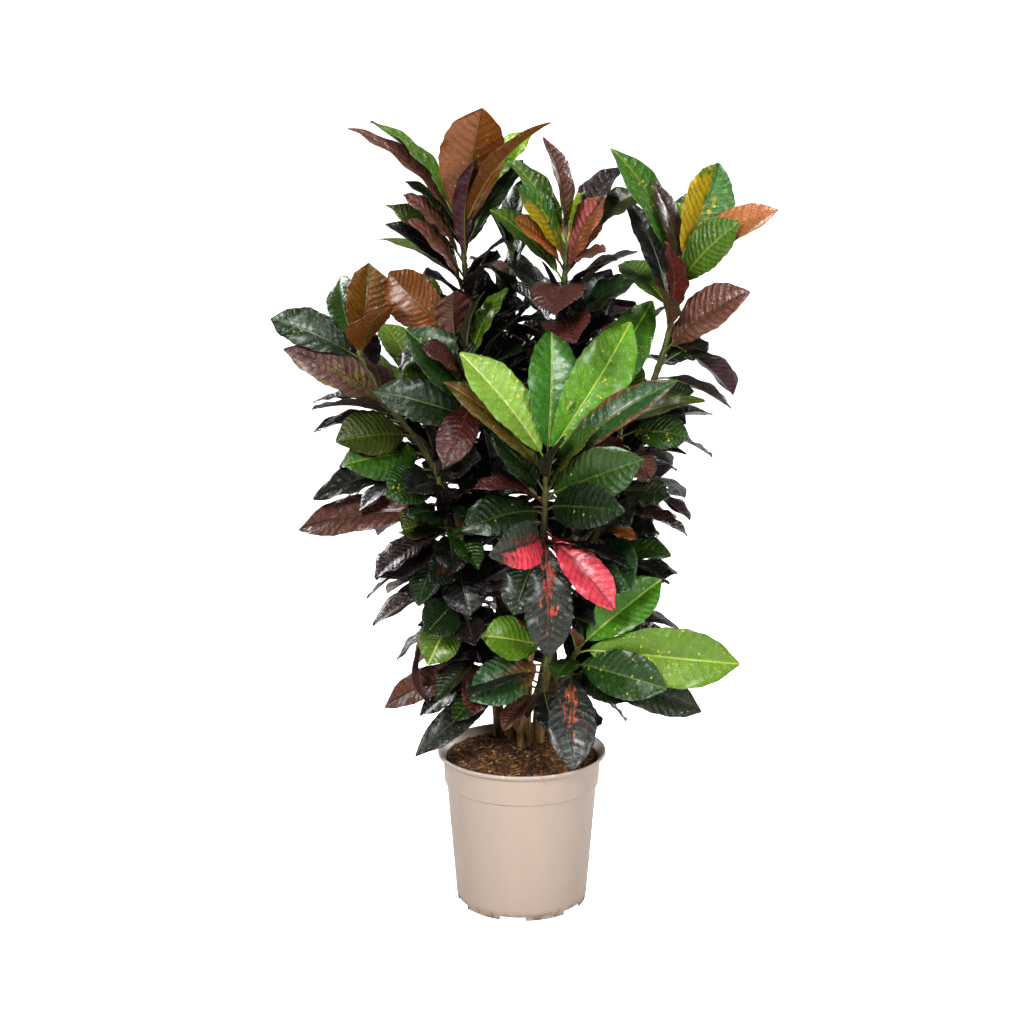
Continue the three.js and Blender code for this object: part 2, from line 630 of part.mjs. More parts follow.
function placeLeaves() {
  const shoots = { ...SHOOTS, ...REAR_SHOOTS };
  const stems = [];
  for (const [name, cane] of Object.entries(CANES)) {
    stems.push({ shoot: name, points: caneCurve(cane).getSpacedPoints(40), radius: cane.radii[1] });
  }
  const plans = [];
  let seed = 11;
  for (const [name, shoot] of Object.entries(shoots)) {
    const curve = stemCurve(shoot);
    stems.push({ shoot: name, points: curve.getSpacedPoints(30), radius: 4.5 });
    const [seenLeaves, ruled] = wantedLeaves(shoot, curve, seed);
    plans.push({ name, curve, seenLeaves, ruled });
    seed += 7;
  }
  const placed = [];
  const turns = turnsToTry();
  const settle = (plan, want, ruled) => {
    const stemDirection = plan.curve.getTangentAt(want.at);
    const grow = (tip, share, twist) =>
      makeLeaf(want.root, tip, stemDirection, want.width * share, want.face + twist, want.arch ?? LEAF.arch);
    const first = grow(want.tip, 1, 0);
    const reach = want.tip.clone().sub(want.root);
    let best = null;
    for (const [lift, swing, twist, share] of turns) {
      const aim = reach.clone().normalize();
      aim.addScaledVector(first.normal, Math.tan(radians(lift)));
      aim.addScaledVector(first.across, Math.tan(radians(swing)));
      const tip = want.root.clone().addScaledVector(aim.normalize(), reach.length() * share);
      const leaf = grow(tip, share, twist);
      const struck = crowding(leaf, plan.name, placed, stems);
      if (!best || struck < best.strikes) best = { leaf, strikes: struck };
      if (struck === 0) break;
    }
    if (ruled && best.strikes >= OTHER_SHOOT) return;
    const { leaf, strikes } = best;
    placed.push({ shoot: plan.name, leaf, points: probes(leaf), strikes, ruled });
  };
  for (const plan of plans) for (const want of plan.seenLeaves) settle(plan, want, false);
  for (const plan of plans) for (const want of plan.ruled) settle(plan, want, true);
  return { placed, plans };
}

function shootGeometry(plan, placed, caneSpaces) {
  const stemPoints = plan.curve.points;
  let body = solidOf(rod(stemPoints, SHOOT.rootRadius, SHOOT.tipRadius, SHOOT.sides, SHOOT.step));
  const mine = placed.filter((entry) => entry.shoot === plan.name);
  const blades = mine.map((entry) => leafSolid(entry.leaf, entry.ruled ? LEAF.farStations : LEAF.stations));
  body = wasm.Manifold.union([body, ...blades]);
  for (const space of caneSpaces) body = body.subtract(space);
  const bodies = body.decompose().sort((a, b) => b.volume() - a.volume());
  return geometryOf(bodies[0]);
}

// ---------------------------------------------------------------- the plant
const materials = {
  pot: new THREE.MeshStandardMaterial({ color: 0xb3a297, roughness: 0.45, metalness: 0 }),
  soil: new THREE.MeshStandardMaterial({ color: 0x3a2a1c, roughness: 0.95, metalness: 0 }),
  cane: new THREE.MeshStandardMaterial({ color: 0x8a6f4a, roughness: 0.8, metalness: 0 }),
  leaf: new THREE.MeshStandardMaterial({ color: 0x3c5a22, roughness: 0.35, metalness: 0 }),
};

function named(name, geometry, material) {
  const mesh = new THREE.Mesh(geometry, material);
  mesh.name = name;
  return mesh;
}

const croton = new THREE.Group();
const caneSpaces = Object.values(CANES).map((cane) => solidOf(caneGeometry(cane, FIT_GAP)));
croton.add(named("pot", pot(), materials.pot));
croton.add(named("soil", soil(caneSpaces), materials.soil));
for (const [name, cane] of Object.entries(CANES)) {
  croton.add(named(name, caneGeometry(cane, 0), materials.cane));
}
const { placed, plans } = placeLeaves();
for (const plan of plans) {
  croton.add(named(plan.name, shootGeometry(plan, placed, caneSpaces), materials.leaf));
}

export default croton;
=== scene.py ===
"""Dresses the potted croton: pot, peat, canes, leafy shoots and the studio round them.

Lengths in the layout of the plant are millimetres, as in its CAD source, and the layout is
the same: a shoot's leaves stand where its CAD node has them. Meshes are in metres.
"""

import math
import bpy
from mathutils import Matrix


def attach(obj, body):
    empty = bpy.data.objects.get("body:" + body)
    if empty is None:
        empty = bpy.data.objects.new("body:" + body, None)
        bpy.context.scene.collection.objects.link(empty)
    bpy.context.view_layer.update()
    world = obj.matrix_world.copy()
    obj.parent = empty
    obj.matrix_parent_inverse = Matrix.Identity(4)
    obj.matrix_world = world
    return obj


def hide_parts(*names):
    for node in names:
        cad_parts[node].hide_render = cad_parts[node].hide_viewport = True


bl_info = {
    "name": "Potted croton",
    "version": (1, 0, 0),
    "blender": (4, 5, 0),
    "location": "3D View > Sidebar > Croton",
    "description": "Builds the pot, peat, canes, leafy shoots and studio of a potted croton",
    "category": "Add Mesh",
}

import bpy
import numpy as np
from bpy.props import FloatProperty, FloatVectorProperty, IntProperty, PointerProperty
from bpy.types import Operator, Panel, PropertyGroup
from mathutils import Vector, noise

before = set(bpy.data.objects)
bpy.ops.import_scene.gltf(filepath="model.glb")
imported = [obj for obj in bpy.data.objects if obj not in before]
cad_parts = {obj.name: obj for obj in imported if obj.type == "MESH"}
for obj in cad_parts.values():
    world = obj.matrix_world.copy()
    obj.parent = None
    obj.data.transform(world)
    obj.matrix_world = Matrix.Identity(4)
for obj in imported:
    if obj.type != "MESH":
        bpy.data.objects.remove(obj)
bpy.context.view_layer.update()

MM = 0.001

# ------------------------------------------------------------------ the plant's layout, mm

# Each cane: its points from under the peat up to its top, and its two radii.
CANES = {
    "cane_1": ([(4, 22, 134), (4, 18, 260), (10, -8, 390), (16, -28, 492)], (9.8, 7.6)),
    "cane_2": ([(23, 42, 134), (27, 40, 280), (56, 34, 430), (88, 24, 560)], (9.2, 7.2)),
    "cane_3": ([(-12, 52, 134), (-16, 50, 300), (-32, 44, 470), (-42, 38, 610)], (8.6, 7.0)),
    "cane_4": ([(42, 62, 134), (46, 70, 290), (34, 72, 450), (26, 66, 600)], (8.8, 7.0)),
    "cane_5": ([(-27, 72, 134), (-38, 74, 280), (-66, 62, 420), (-92, 44, 560)], (8.2, 6.8)),
}

# The front shoots. seat: the cane that bears it, and where on it. stem and leaves: places
# as the eye sees them against the upright plane through the pot's axis. A leaf's row:
# height of its root, x and height of its tip, how far in front of the axis the tip is,
# width, face, tint, and its arch where it isn't the usual one. rear: the number of leaves that
# turn away, the shares of the stem that they stand between, the middle and the spread of
# their directions in degrees, their length and their width.
# The near-black tint in these rows is painted shade, on leaves that stand in the plant's shade.
SHOOTS = {
    "shoot_front": {
        "seat": ("cane_1", 0.99),
        "stem": [(29, 530, 48), (32, 585, 62), (35, 638, 68)],
        "leaves": [
            (632, -85, 787, 60, 62, 55, "pale"), (612, -98, 752, 95, 50, 25, "rust"),
            (636, 40, 822, 35, 66, 5, "quilted"), (636, 148, 829, 20, 76, 75, "bright speckled"),
            (628, 228, 768, 60, 52, 22, "tan back"), (610, 213, 750, 90, 50, 35, "red rimmed"),
            (637, 203, 852, -40, 66, 60, "bright"), (585, 105, 685, 110, 50, 28, "tan back"),
            (600, 58, 668, 130, 50, 40, "dark green"), (590, -42, 675, 90, 78, 80, "dark green"),
            (575, -52, 605, 165, 40, 20, "red brown"), (560, -83, 540, 170, 62, 45, "dark green"),
            (545, -40, 532, 40, 50, 30, "dark green"), (520, -45, 503, 228, 60, 60, "pink half"),
            (530, 38, 355, 105, 64, 0, "blotched"), (525, 130, 425, 110, 52, 40, "pink"),
            (580, 168, 640, 140, 68, 70, "mid green"), (565, 142, 567, 175, 60, 55, "dark green"),
            (540, 66, 470, 60, 45, 20, "crimson"), (505, -12, 418, 90, 58, 0, "dark green"),
            (570, -45, 640, 40, 60, 30, "black"), (610, 95, 560, 20, 60, 10, "black"),
        ],
    },
    "shoot_crown": {
        "seat": ("cane_3", 0.99),
        "stem": [(-58, 720, -35), (-74, 860, -25), (-82, 962, -20)],
        "leaves": [
            (940, -54, 1112, 40, 84, -15, "bronze"), (950, -232, 1086, -20, 60, 15, "mauve"),
            (955, -202, 1094, -60, 60, 15, "green"), (958, -112, 1075, -95, 55, 60, "lime"),
            (930, -156, 1016, -10, 50, 20, "dark green"), (885, -182, 985, 15, 60, 35, "olive"),
            (870, -183, 960, 45, 55, 40, "black"), (905, -160, 998, 30, 60, 40, "mauve"),
            (850, -153, 965, 65, 60, 50, "mauve"), (835, -133, 893, 75, 50, 30, "purple"),
            (955, 12, 1106, -30, 42, 28, "lime"), (950, 47, 1112, 5, 54, 12, "bronze"),
            (960, -42, 1095, -85, 60, 60, "dark green"), (900, -50, 1038, 50, 36, 20, "purple"),
            (920, 0, 1045, -60, 60, 25, "dark green"),
            (860, -22, 938, 75, 50, 35, "grey"), (850, -48, 917, 95, 50, 40, "black"),
            (780, -10, 850, 30, 60, 30, "black"), (740, 0, 790, 50, 60, 30, "dark green"),
            (760, -150, 860, -60, 60, 45, "black"),
            (720, -130, 700, 40, 60, 20, "black"),
        ],
        "rear": (6, 0.45, 0.97, 100, 170, 150, 60),
    },
    "shoot_middle": {
        "seat": ("cane_4", 0.99),
        "stem": [(42, 740, -30), (55, 860, -10), (60, 935, -5)],
        "leaves": [
            (885, 112, 998, 20, 62, 55, "rose bronze"), (905, -8, 1010, 30, 60, 55, "sunset"),
            (895, 0, 968, 70, 50, 35, "orange"), (935, 28, 1074, -10, 50, 18, "mauve"),
            (930, -10, 1050, -40, 50, 20, "green"), (935, 76, 1005, -10, 50, 30, "lime"),
            (880, -43, 979, 0, 50, 25, "green"), (870, 42, 838, 165, 70, 0, "red brown"),
            (930, 163, 1003, -40, 55, 28, "olive"), (890, 110, 945, 60, 40, 30, "mauve"),
            (850, 155, 923, 40, 55, 14, "grey"), (860, 128, 912, 70, 50, 25, "black"),
            (800, 155, 884, 70, 60, 45, "dark green"), (780, 140, 870, 20, 50, 30, "black"),
            (820, 72, 802, 170, 62, 0, "red brown"), (760, -15, 790, 50, 60, 20, "black"),
            (830, -20, 905, 60, 55, 50, "black"),
            (720, 10, 650, 70, 60, 10, "dark green"), (740, 115, 760, 30, 60, 30, "black"),
            (700, 105, 690, 40, 60, 20, "dark green"),
        ],
        "rear": (6, 0.4, 0.97, 70, 150, 150, 60),
    },
    "shoot_right": {
        "seat": ("cane_2", 0.99),
        "stem": [(160, 700, -10), (198, 810, 0), (212, 905, 5)],
        "leaves": [
            (895, 118, 1060, -10, 60, 35, "speckled"), (880, 158, 1008, 35, 50, 18, "brown"),
            (905, 190, 990, -60, 50, 25, "lime"), (900, 262, 1040, -25, 70, 50, "sunset"),
            (900, 330, 996, 5, 55, 28, "salmon"), (870, 300, 960, 40, 65, 70, "green"),
            (830, 140, 998, -40, 45, 12, "grey"), (825, 193, 937, 70, 50, 50, "red brown"),
            (812, 180, 880, 95, 45, 45, "brown"), (785, 307, 870, 60, 68, 60, "mauve"),
            (765, 253, 802, -30, 50, 35, "dark green"), (705, 235, 734, 20, 50, 28, "dark green"),
            (690, 225, 690, 30, 50, 22, "grey"),
        ],
        "rear": (5, 0.35, 0.97, 80, 130, 140, 60),
    },
    "shoot_left": {
        "seat": ("cane_5", 0.99),
        "stem": [(-140, 660, -20), (-185, 720, -10), (-224, 788, 0)],
        "leaves": [
            (775, -342, 833, -10, 60, 50, "dark green"), (780, -207, 908, -15, 68, 75, "olive bronze"),
            (778, -180, 848, 110, 72, 20, "bronze"), (785, -245, 891, -90, 50, 50, "mid green"),
            (705, -325, 792, 25, 65, 65, "patched mauve"), (720, -212, 775, 100, 50, 30, "purple"),
            (690, -287, 678, -10, 55, 8, "grey"), (668, -256, 665, 50, 70, 50, "olive"),
            (640, -246, 632, 60, 72, 70, "speckled"), (620, -290, 583, 5, 55, 30, "grey"),
        ],
        "rear": (5, 0.3, 0.97, 75, 110, 140, 62),
    },
    "shoot_inner": {
        "seat": ("cane_3", 0.85),
        "stem": [(-46, 680, 15), (-75, 765, 30), (-100, 815, 35)],
        "leaves": [
            (800, -187, 891, 30, 68, 70, "bronze"), (700, -157, 812, 80, 72, 70, "speckled dark"),
            (795, -92, 870, 70, 50, 25, "brown"), (770, -52, 870, 60, 50, 60, "dark green"),
            (760, -20, 875, 20, 40, 25, "green"), (740, -115, 803, 100, 50, 25, "red brown"),
            (808, -150, 893, -40, 45, 40, "green"),
            (800, -185, 855, -30, 50, 40, "dark green"), (680, -195, 755, 90, 60, 50, "dark green"),
            (720, -108, 628, 115, 50, 10, "red brown"), (690, -5, 700, 60, 60, 20, "black"),
        ],
    },
    "shoot_low_left": {
        "seat": ("cane_5", 0.6),
        "stem": [(-85, 490, -10), (-110, 570, 20), (-118, 640, 25)],
        "leaves": [
            (560, -311, 540, -30, 58, 50, "mauve"), (612, -188, 585, 110, 60, 50, "speckled dark"),
            (600, -160, 593, 130, 50, 35, "black"), (575, -167, 541, 70, 40, 20, "olive"),
            (555, -165, 552, 100, 50, 40, "dark green"), (540, -168, 535, 20, 50, 30, "olive"),
            (520, -200, 472, 50, 62, 65, "purple"), (500, -128, 462, 90, 45, 45, "blotched"),
            (545, -60, 484, 100, 40, 10, "mid green"), (530, -95, 478, 110, 50, 0, "black"),
            (615, -70, 665, 100, 60, 60, "black"), (638, -60, 735, 60, 50, 50, "black"),
            (580, -45, 560, 60, 60, 20, "dark green"), (560, -50, 610, 70, 60, 30, "purple"),
            (500, -75, 415, 60, 60, 10, "black"),
        ],
        "rear": (5, 0.3, 0.95, 95, 100, 140, 60),
    },
    "shoot_low_right": {
        "seat": ("cane_2", 0.31),
        "stem": [(56, 312, 0), (70, 350, 28), (82, 376, 42)],
        "leaves": [
            (372, 195, 470, 20, 64, 60, "bright"), (366, 308, 347, 40, 80, 75, "yellow green"),
            (345, 205, 310, 90, 66, 60, "speckled dark"), (330, 256, 277, 0, 58, 60, "grey green"),
            (320, 153, 292, 60, 50, 35, "grey green"), (310, 148, 262, -50, 50, 20, "brown"),
            (300, 107, 254, -40, 50, 10, "grey"), (338, 73, 188, 135, 64, 0, "blotched grey"),
            (368, 60, 405, 90, 40, 40, "pale"), (355, 50, 326, 100, 42, 0, "mid green"),
            (374, 85, 415, 0, 35, 30, "brown"),
        ],
        "rear": (3, 0.3, 0.9, 60, 100, 130, 56),
    },
    "shoot_bottom_left": {
        "seat": ("cane_3", 0.35),
        "stem": [(-45, 350, 0), (-70, 400, 15), (-92, 442, 25)],
        "leaves": [
            (440, -128, 282, 25, 60, 5, "pink strap", 0.25), (335, -196, 283, -30, 50, 15, "mauve"),
            (430, -133, 345, 75, 55, 45, "bright olive"), (375, -123, 352, 60, 50, 25, "black"),
            (355, -122, 290, 60, 40, 5, "grey green"), (320, -145, 270, 0, 45, 25, "grey"),
            (305, -152, 210, 90, 42, 45, "grey"), (345, -72, 270, 115, 45, 0, "red brown"),
            (310, -99, 249, 60, 45, 20, "mid green"), (435, -105, 421, 115, 55, 45, "dark green"),
            (440, -115, 408, -20, 45, 5, "purple"), (410, -66, 386, 110, 40, 5, "purple"),
            (400, -15, 350, 30, 55, 10, "black"), (380, -150, 395, 20, 55, 30, "black"),
        ],
        "rear": (3, 0.3, 0.95, 110, 110, 130, 56),
    },
    "shoot_bottom_front": {
        "seat": ("cane_1", 0.35),
        "stem": [(24, 310, 14), (34, 350, 34), (41, 388, 42)],
        "leaves": [
            (345, -85, 290, 80, 64, 70, "cream rose"), (365, -57, 388, 80, 62, 60, "bright olive"),
            (382, -15, 425, 60, 50, 35, "red rimmed"), (305, -65, 282, 40, 45, 25, "grey"),
            (300, -27, 248, 70, 35, 5, "mauve"), (310, 45, 245, 70, 40, 10, "black"),
        ],
    },
    "shoot_side_right": {
        "seat": ("cane_2", 0.72),
        "stem": [(96, 520, 10), (124, 600, 32), (136, 672, 38)],
        "leaves": [
            (672, 230, 670, 60, 60, 40, "speckled dark"), (662, 178, 608, 40, 50, 40, "mauve"),
            (630, 213, 624, -30, 40, 15, "grey"), (590, 205, 588, 50, 50, 38, "grey green"),
            (572, 150, 548, 80, 50, 40, "grey green"), (540, 160, 528, 60, 22, 40, "dry"),
            (535, 192, 536, -10, 50, 28, "dark green"), (500, 208, 505, 40, 55, 42, "mid green"),
            (525, 152, 452, 90, 78, 60, "gloss green"), (680, 112, 640, 70, 40, 10, "red brown"),
            (650, 60, 610, 20, 55, 20, "dark green"), (530, 95, 430, 30, 60, 10, "black"),
            (600, 60, 500, 0, 60, 20, "black"),
        ],
        "rear": (5, 0.25, 0.95, 60, 110, 130, 58),
    },
}

# Small old leaves close round the stems, which fill the plant's inside: how many are tried on each shoot
# and each cane, between what shares of it, and what tints they draw from, all dark ones, the near-black
# one among them painted shade of the inside. None points straight to the front, where the rows place
# every leaf.
INNER_COUNT = 24
INNER_OF_SHOOT = (0.1, 0.72)
INNER_OF_CANE = (0.5, 0.98)
NEAR_TOP = 0.95  # a shoot seated higher on its cane than this carries on from the cane's top
LOWEST_INNER_TIP = 310
MOST_TO_THE_FRONT = -0.55

# More of them, where the eye would see between the stems. Rows as those of the shoots.
# Most of these leaves are near-black, painted shade of the plant's inside.
INNER_ROWS = {
    "shoot_crown": [
        (800, -25, 905, -50, 46, 40, "black"), (770, 10, 860, 30, 50, 30, "black"),
        (730, -15, 850, 60, 46, 60, "dark green"), (700, 20, 790, 40, 52, 30, "purple"),
        (830, -150, 800, 20, 50, 20, "black"), (690, -110, 760, 60, 50, 40, "black"),
        (760, -30, 880, -90, 60, 50, "black"), (740, -120, 850, -70, 60, 40, "dark green"),
        (700, 0, 730, 0, 64, 20, "black"), (680, -60, 700, 40, 64, 20, "black"),
        (720, 30, 810, -60, 64, 20, "black"), (700, 40, 760, 10, 60, 20, "purple"),
    ],
    "shoot_middle": [
        (800, -15, 880, 20, 50, 40, "black"), (770, 0, 850, -40, 55, 30, "dark green"),
        (830, 90, 800, 60, 50, 10, "purple"), (790, 20, 900, 60, 44, 50, "black"),
        (750, 80, 840, 70, 50, 40, "black"), (700, -20, 720, 60, 50, 20, "black"),
        (660, 80, 600, 50, 52, 10, "dark green"), (690, 110, 740, 40, 52, 30, "black"),
        (760, 120, 900, -40, 60, 40, "black"), (720, 140, 860, -60, 60, 40, "dark green"),
        (700, 30, 760, 60, 62, 30, "black"), (720, 60, 830, -80, 62, 20, "black"),
        (680, 130, 790, 0, 60, 40, "black"), (700, 170, 800, -60, 60, 30, "dark green"),
    ],
    "shoot_inner": [
        (740, -60, 840, 60, 50, 60, "black"), (710, -30, 790, 100, 52, 50, "dark green"),
        (690, -110, 690, 60, 50, 30, "purple"), (690, -110, 600, 0, 62, 20, "black"),
        (700, -40, 600, 10, 62, 20, "black"), (680, -130, 640, -10, 62, 30, "dark green"),
        (720, -20, 660, 20, 60, 20, "black"), (750, -30, 720, 0, 60, 30, "black"),
    ],
    "rear_top": [
        (860, 20, 950, -110, 56, 30, "black"), (800, -50, 930, -110, 56, 40, "dark green"),
        (820, 40, 880, -60, 56, 30, "black"), (740, -60, 850, -60, 56, 40, "black"),
        (760, 60, 860, -100, 64, 30, "black"), (720, 90, 820, -110, 64, 30, "black"),
        (720, -20, 800, -90, 64, 20, "black"), (700, -100, 800, -100, 64, 40, "dark green"),
    ],
    "shoot_low_left": [
        (600, -100, 720, 60, 50, 40, "black"), (560, -30, 560, 60, 52, 10, "black"),
        (520, -110, 420, 60, 52, 10, "dark green"), (620, -160, 690, 70, 52, 40, "black"),
        (600, -60, 640, -20, 62, 30, "black"), (580, -150, 610, -20, 62, 30, "black"),
        (620, -90, 540, 0, 62, 20, "purple"), (560, -60, 600, 10, 62, 40, "black"),
    ],
    "shoot_side_right": [
        (600, 100, 520, 60, 52, 10, "black"), (640, 75, 720, 60, 50, 30, "dark green"),
        (560, 60, 470, 50, 52, 10, "purple"), (620, 180, 700, 20, 52, 40, "black"),
    ],
    "shoot_bottom_left": [
        (410, -50, 330, 40, 50, 10, "black"), (420, -150, 450, 20, 50, 40, "dark green"),
        (400, -40, 440, 0, 58, 40, "black"), (430, -90, 520, 20, 58, 40, "dark green"),
    ],
    "rear_low": [
        (420, -60, 500, -40, 64, 40, "black"), (460, 20, 540, -30, 64, 40, "dark green"),
        (400, 0, 470, -20, 64, 40, "black"), (500, -80, 600, -30, 64, 40, "black"),
    ],
    "rear_left": [
        (600, -60, 680, -20, 66, 40, "black"), (640, -90, 740, -30, 66, 40, "black"),
        (580, -140, 660, -10, 62, 40, "dark green"), (620, -40, 600, -10, 62, 20, "black"),
    ],
    "rear_right": [
        (600, 60, 680, -30, 66, 40, "black"), (640, 130, 740, -30, 66, 40, "black"),
        (580, 100, 660, -10, 62, 40, "dark green"), (660, 60, 760, -40, 66, 30, "black"),
    ],
}
# The near-black tint here is painted shade of the plant's inside.
INNER_TINTS = ("black", "dark green", "black", "purple", "grey", "brown")

# Shoots on the far side, whose leaves stand round them by a rule.
REAR_SHOOTS = {
    "rear_top": {
        "seat": ("cane_4", 0.9),
        "path": [(-12, 76, 700), (-16, 80, 830), (-14, 80, 920)],
        "rear": (12, 0.3, 0.98, 90, 300, 140, 62),
    },
    "rear_left": {
        "seat": ("cane_5", 0.78),
        "path": [(-108, 76, 560), (-134, 80, 660), (-146, 82, 740)],
        "rear": (11, 0.3, 0.98, 110, 230, 140, 62),
    },
    "rear_right": {
        "seat": ("cane_4", 0.62),
        "path": [(80, 86, 560), (112, 90, 660), (124, 90, 750)],
        "rear": (11, 0.3, 0.98, 70, 230, 140, 62),
    },
    "rear_low": {
        "seat": ("cane_5", 0.35),
        "path": [(-34, 78, 390), (-28, 80, 470), (-26, 78, 550)],
        "rear": (10, 0.3, 0.98, 90, 240, 140, 62),
    },
    "rear_low_right": {
        "seat": ("cane_4", 0.33),
        "path": [(78, 88, 350), (98, 94, 420), (106, 94, 480)],
        "rear": (9, 0.3, 0.98, 60, 200, 140, 62),
    },
}

# The eye: how far in front of the pot's axis, and how high.
EYE_DISTANCE = 2300
EYE_HEIGHT = 1020
# A leaf: its stalk's length, where along it the blade is widest, how full its outline is, and
# its arch as a share of its length.
PETIOLE = 20
WIDEST = 0.5
FULLNESS = 1.2
ARCH = 0.11
# Clear room round a leaf towards other shoots' leaves, its own shoot's and stems, the radius of
# a shoot's stem, and how many times a strike on another shoot counts.
CLEAR_OTHER = 5.5
CLEAR_OWN = 2.0
CLEAR_STEM = 4
SHOOT_ROOM = 4.5
OTHER_SHOOT = 4
# Turns that are tried: sizes, degrees from one ring of turns to the next, and how far small
# inner leaves may turn, by a rule and in a row.
SIZES = (1, 0.85, 0.7)
RING_STEP = 7
FEW_TURNS = 15
SOME_TURNS = 22
GOLDEN = 0.618034
UP = np.array((0.0, 0.0, 1.0))


def seen(x, z, front):
    """The point at that depth which the eye sees at x, z of the upright plane."""
    share = (EYE_DISTANCE - front) / EYE_DISTANCE
    return np.array((x * share, -front, EYE_HEIGHT + (z - EYE_HEIGHT) * share))


def draws_from(seed):
    """Repeatable draws between 0 and 1."""
    state = seed

    def draw():
        nonlocal state
        state = (state * 16807) % 2147483647
        return state / 2147483647

    return draw


def unit(vector):
    return vector / math.sqrt(float(np.dot(vector, vector)))


class SmoothCurve:
    """A centripetal Catmull-Rom curve through points, measured along its length."""

    def __init__(self, points):
        self.points = [np.array(p, float) for p in points]
        first, last = 2 * self.points[0] - self.points[1], 2 * self.points[-1] - self.points[-2]
        knots = [first, *self.points, last]
        self.segments = []
        for p0, p1, p2, p3 in zip(knots, knots[1:], knots[2:], knots[3:]):
            spans = ((p0, p1), (p1, p2), (p2, p3))
            d0, d1, d2 = (float(np.sum((b - a) ** 2)) ** 0.25 for a, b in spans)
            t1 = ((p1 - p0) / d0 - (p2 - p0) / (d0 + d1) + (p2 - p1) / d1) * d1
            t2 = ((p2 - p1) / d1 - (p3 - p1) / (d1 + d2) + (p3 - p2) / d2) * d1
            self.segments.append((p1, t1, -3 * p1 + 3 * p2 - 2 * t1 - t2, 2 * p1 - 2 * p2 + t1 + t2))
        steps = [self.at_knot(i / 200) for i in range(201)]
        parts = [np.linalg.norm(b - a) for a, b in zip(steps, steps[1:])]
        self.lengths = np.concatenate(([0.0], np.cumsum(parts)))
        self.length = float(self.lengths[-1])

    def at_knot(self, t):
        place = min(max(t, 0.0), 1.0) * len(self.segments)
        index = min(int(place), len(self.segments) - 1)
        w = place - index
        c0, c1, c2, c3 = self.segments[index]
        return c0 + c1 * w + c2 * w * w + c3 * w * w * w

    def knot_share(self, share):
        return float(np.interp(share * self.length, self.lengths, np.linspace(0, 1, 201)))

    def at(self, share):
        return self.at_knot(self.knot_share(share))

    def tangent(self, share):
        t = self.knot_share(share)
        return unit(self.at_knot(min(t + 0.0001, 1)) - self.at_knot(max(t - 0.0001, 0)))

    def share_at_height(self, height):
        low, high = 0.0, 1.0
        for _ in range(20):
            middle = (low + high) / 2
            if self.at(middle)[2] < height:
                low = middle
            else:
                high = middle
        return low


class Leaf:
    """A leaf from its root on the shoot to its tip, in its own axes."""

    def __init__(self, root, tip, stem_direction, width, face, arch):
        reach = tip - root
        petiole = min(PETIOLE, float(np.linalg.norm(reach)) * 0.2)
        self.root, self.tip = root, tip
        self.base = root + unit(unit(reach) + 0.5 * stem_direction) * petiole
        along = tip - self.base
        self.length = float(np.linalg.norm(along))
        self.along = along / self.length
        flat = unit(UP - self.along * self.along[2])
        side = np.cross(self.along, flat)
        turn = math.radians(face) * (1 if side[1] < 0 else -1)
        self.normal = flat * math.cos(turn) + side * math.sin(turn)
        self.across = np.cross(self.along, self.normal)
        self.half = width / 2
        self.arch = arch * self.length

    def half_width(self, u):
        return half_width(self.half, u)

    def point(self, u, y, lift=0.0):
        """Points over the blade; u, y and lift are numbers or arrays of one shape."""
        u, y, lift = (np.asarray(value, float)[..., None] for value in (u, y, lift))
        height = self.arch * 4 * u * (1 - u) + lift
        return self.base + self.along * (u * self.length) + self.across * y + self.normal * height


def half_width(half, u):
    towards_base = (u / WIDEST) ** (FULLNESS * WIDEST)
    towards_tip = ((1 - u) / (1 - WIDEST)) ** (FULLNESS * (1 - WIDEST))
    return half * towards_base * towards_tip


PROBE_LENGTHS = np.repeat((0.06, 0.18, 0.3, 0.42, 0.54, 0.66, 0.78, 0.9, 1), 5)
PROBE_WIDTHS = np.tile((-1, -0.5, 0, 0.5, 1), 9)
# Leaves of one shoot may cross where they crowd round its stem: their stalks and this
# share of their blades.
BASE_SHARE = 0.2
BASE_PROBES = 12


def probes(leaf):
    """Points over a leaf that must not strike another."""
    widths = PROBE_WIDTHS * leaf.half_width(np.minimum(PROBE_LENGTHS, 0.999))
    stalk = [leaf.root + (leaf.base - leaf.root) * 0.6, leaf.base]
    return np.concatenate((stalk, leaf.point(PROBE_LENGTHS, widths)))


def strikes(blades, points, margin, clearance, past):
    """Which blades have points within the clearance: rows are blades, columns their points."""
    base, along, across, normal, length, half, arch = blades
    x = points - base[:, None]
    u = np.einsum("lpk,lk->lp", x, along) / length[:, None]
    off = np.abs(np.einsum("lpk,lk->lp", x, across))
    over = (u > past) & (u < 1)
    over &= off <= half_width(half[:, None], np.clip(u, 0.01, 0.999999)) + margin
    height = np.einsum("lpk,lk->lp", x, normal) - arch[:, None] * 4 * u * (1 - u)
    lowest = np.where(over, height, np.inf).min(axis=1)
    highest = np.where(over, height, -np.inf).max(axis=1)
    return over.any(axis=1) & (lowest < clearance) & (highest > -clearance)


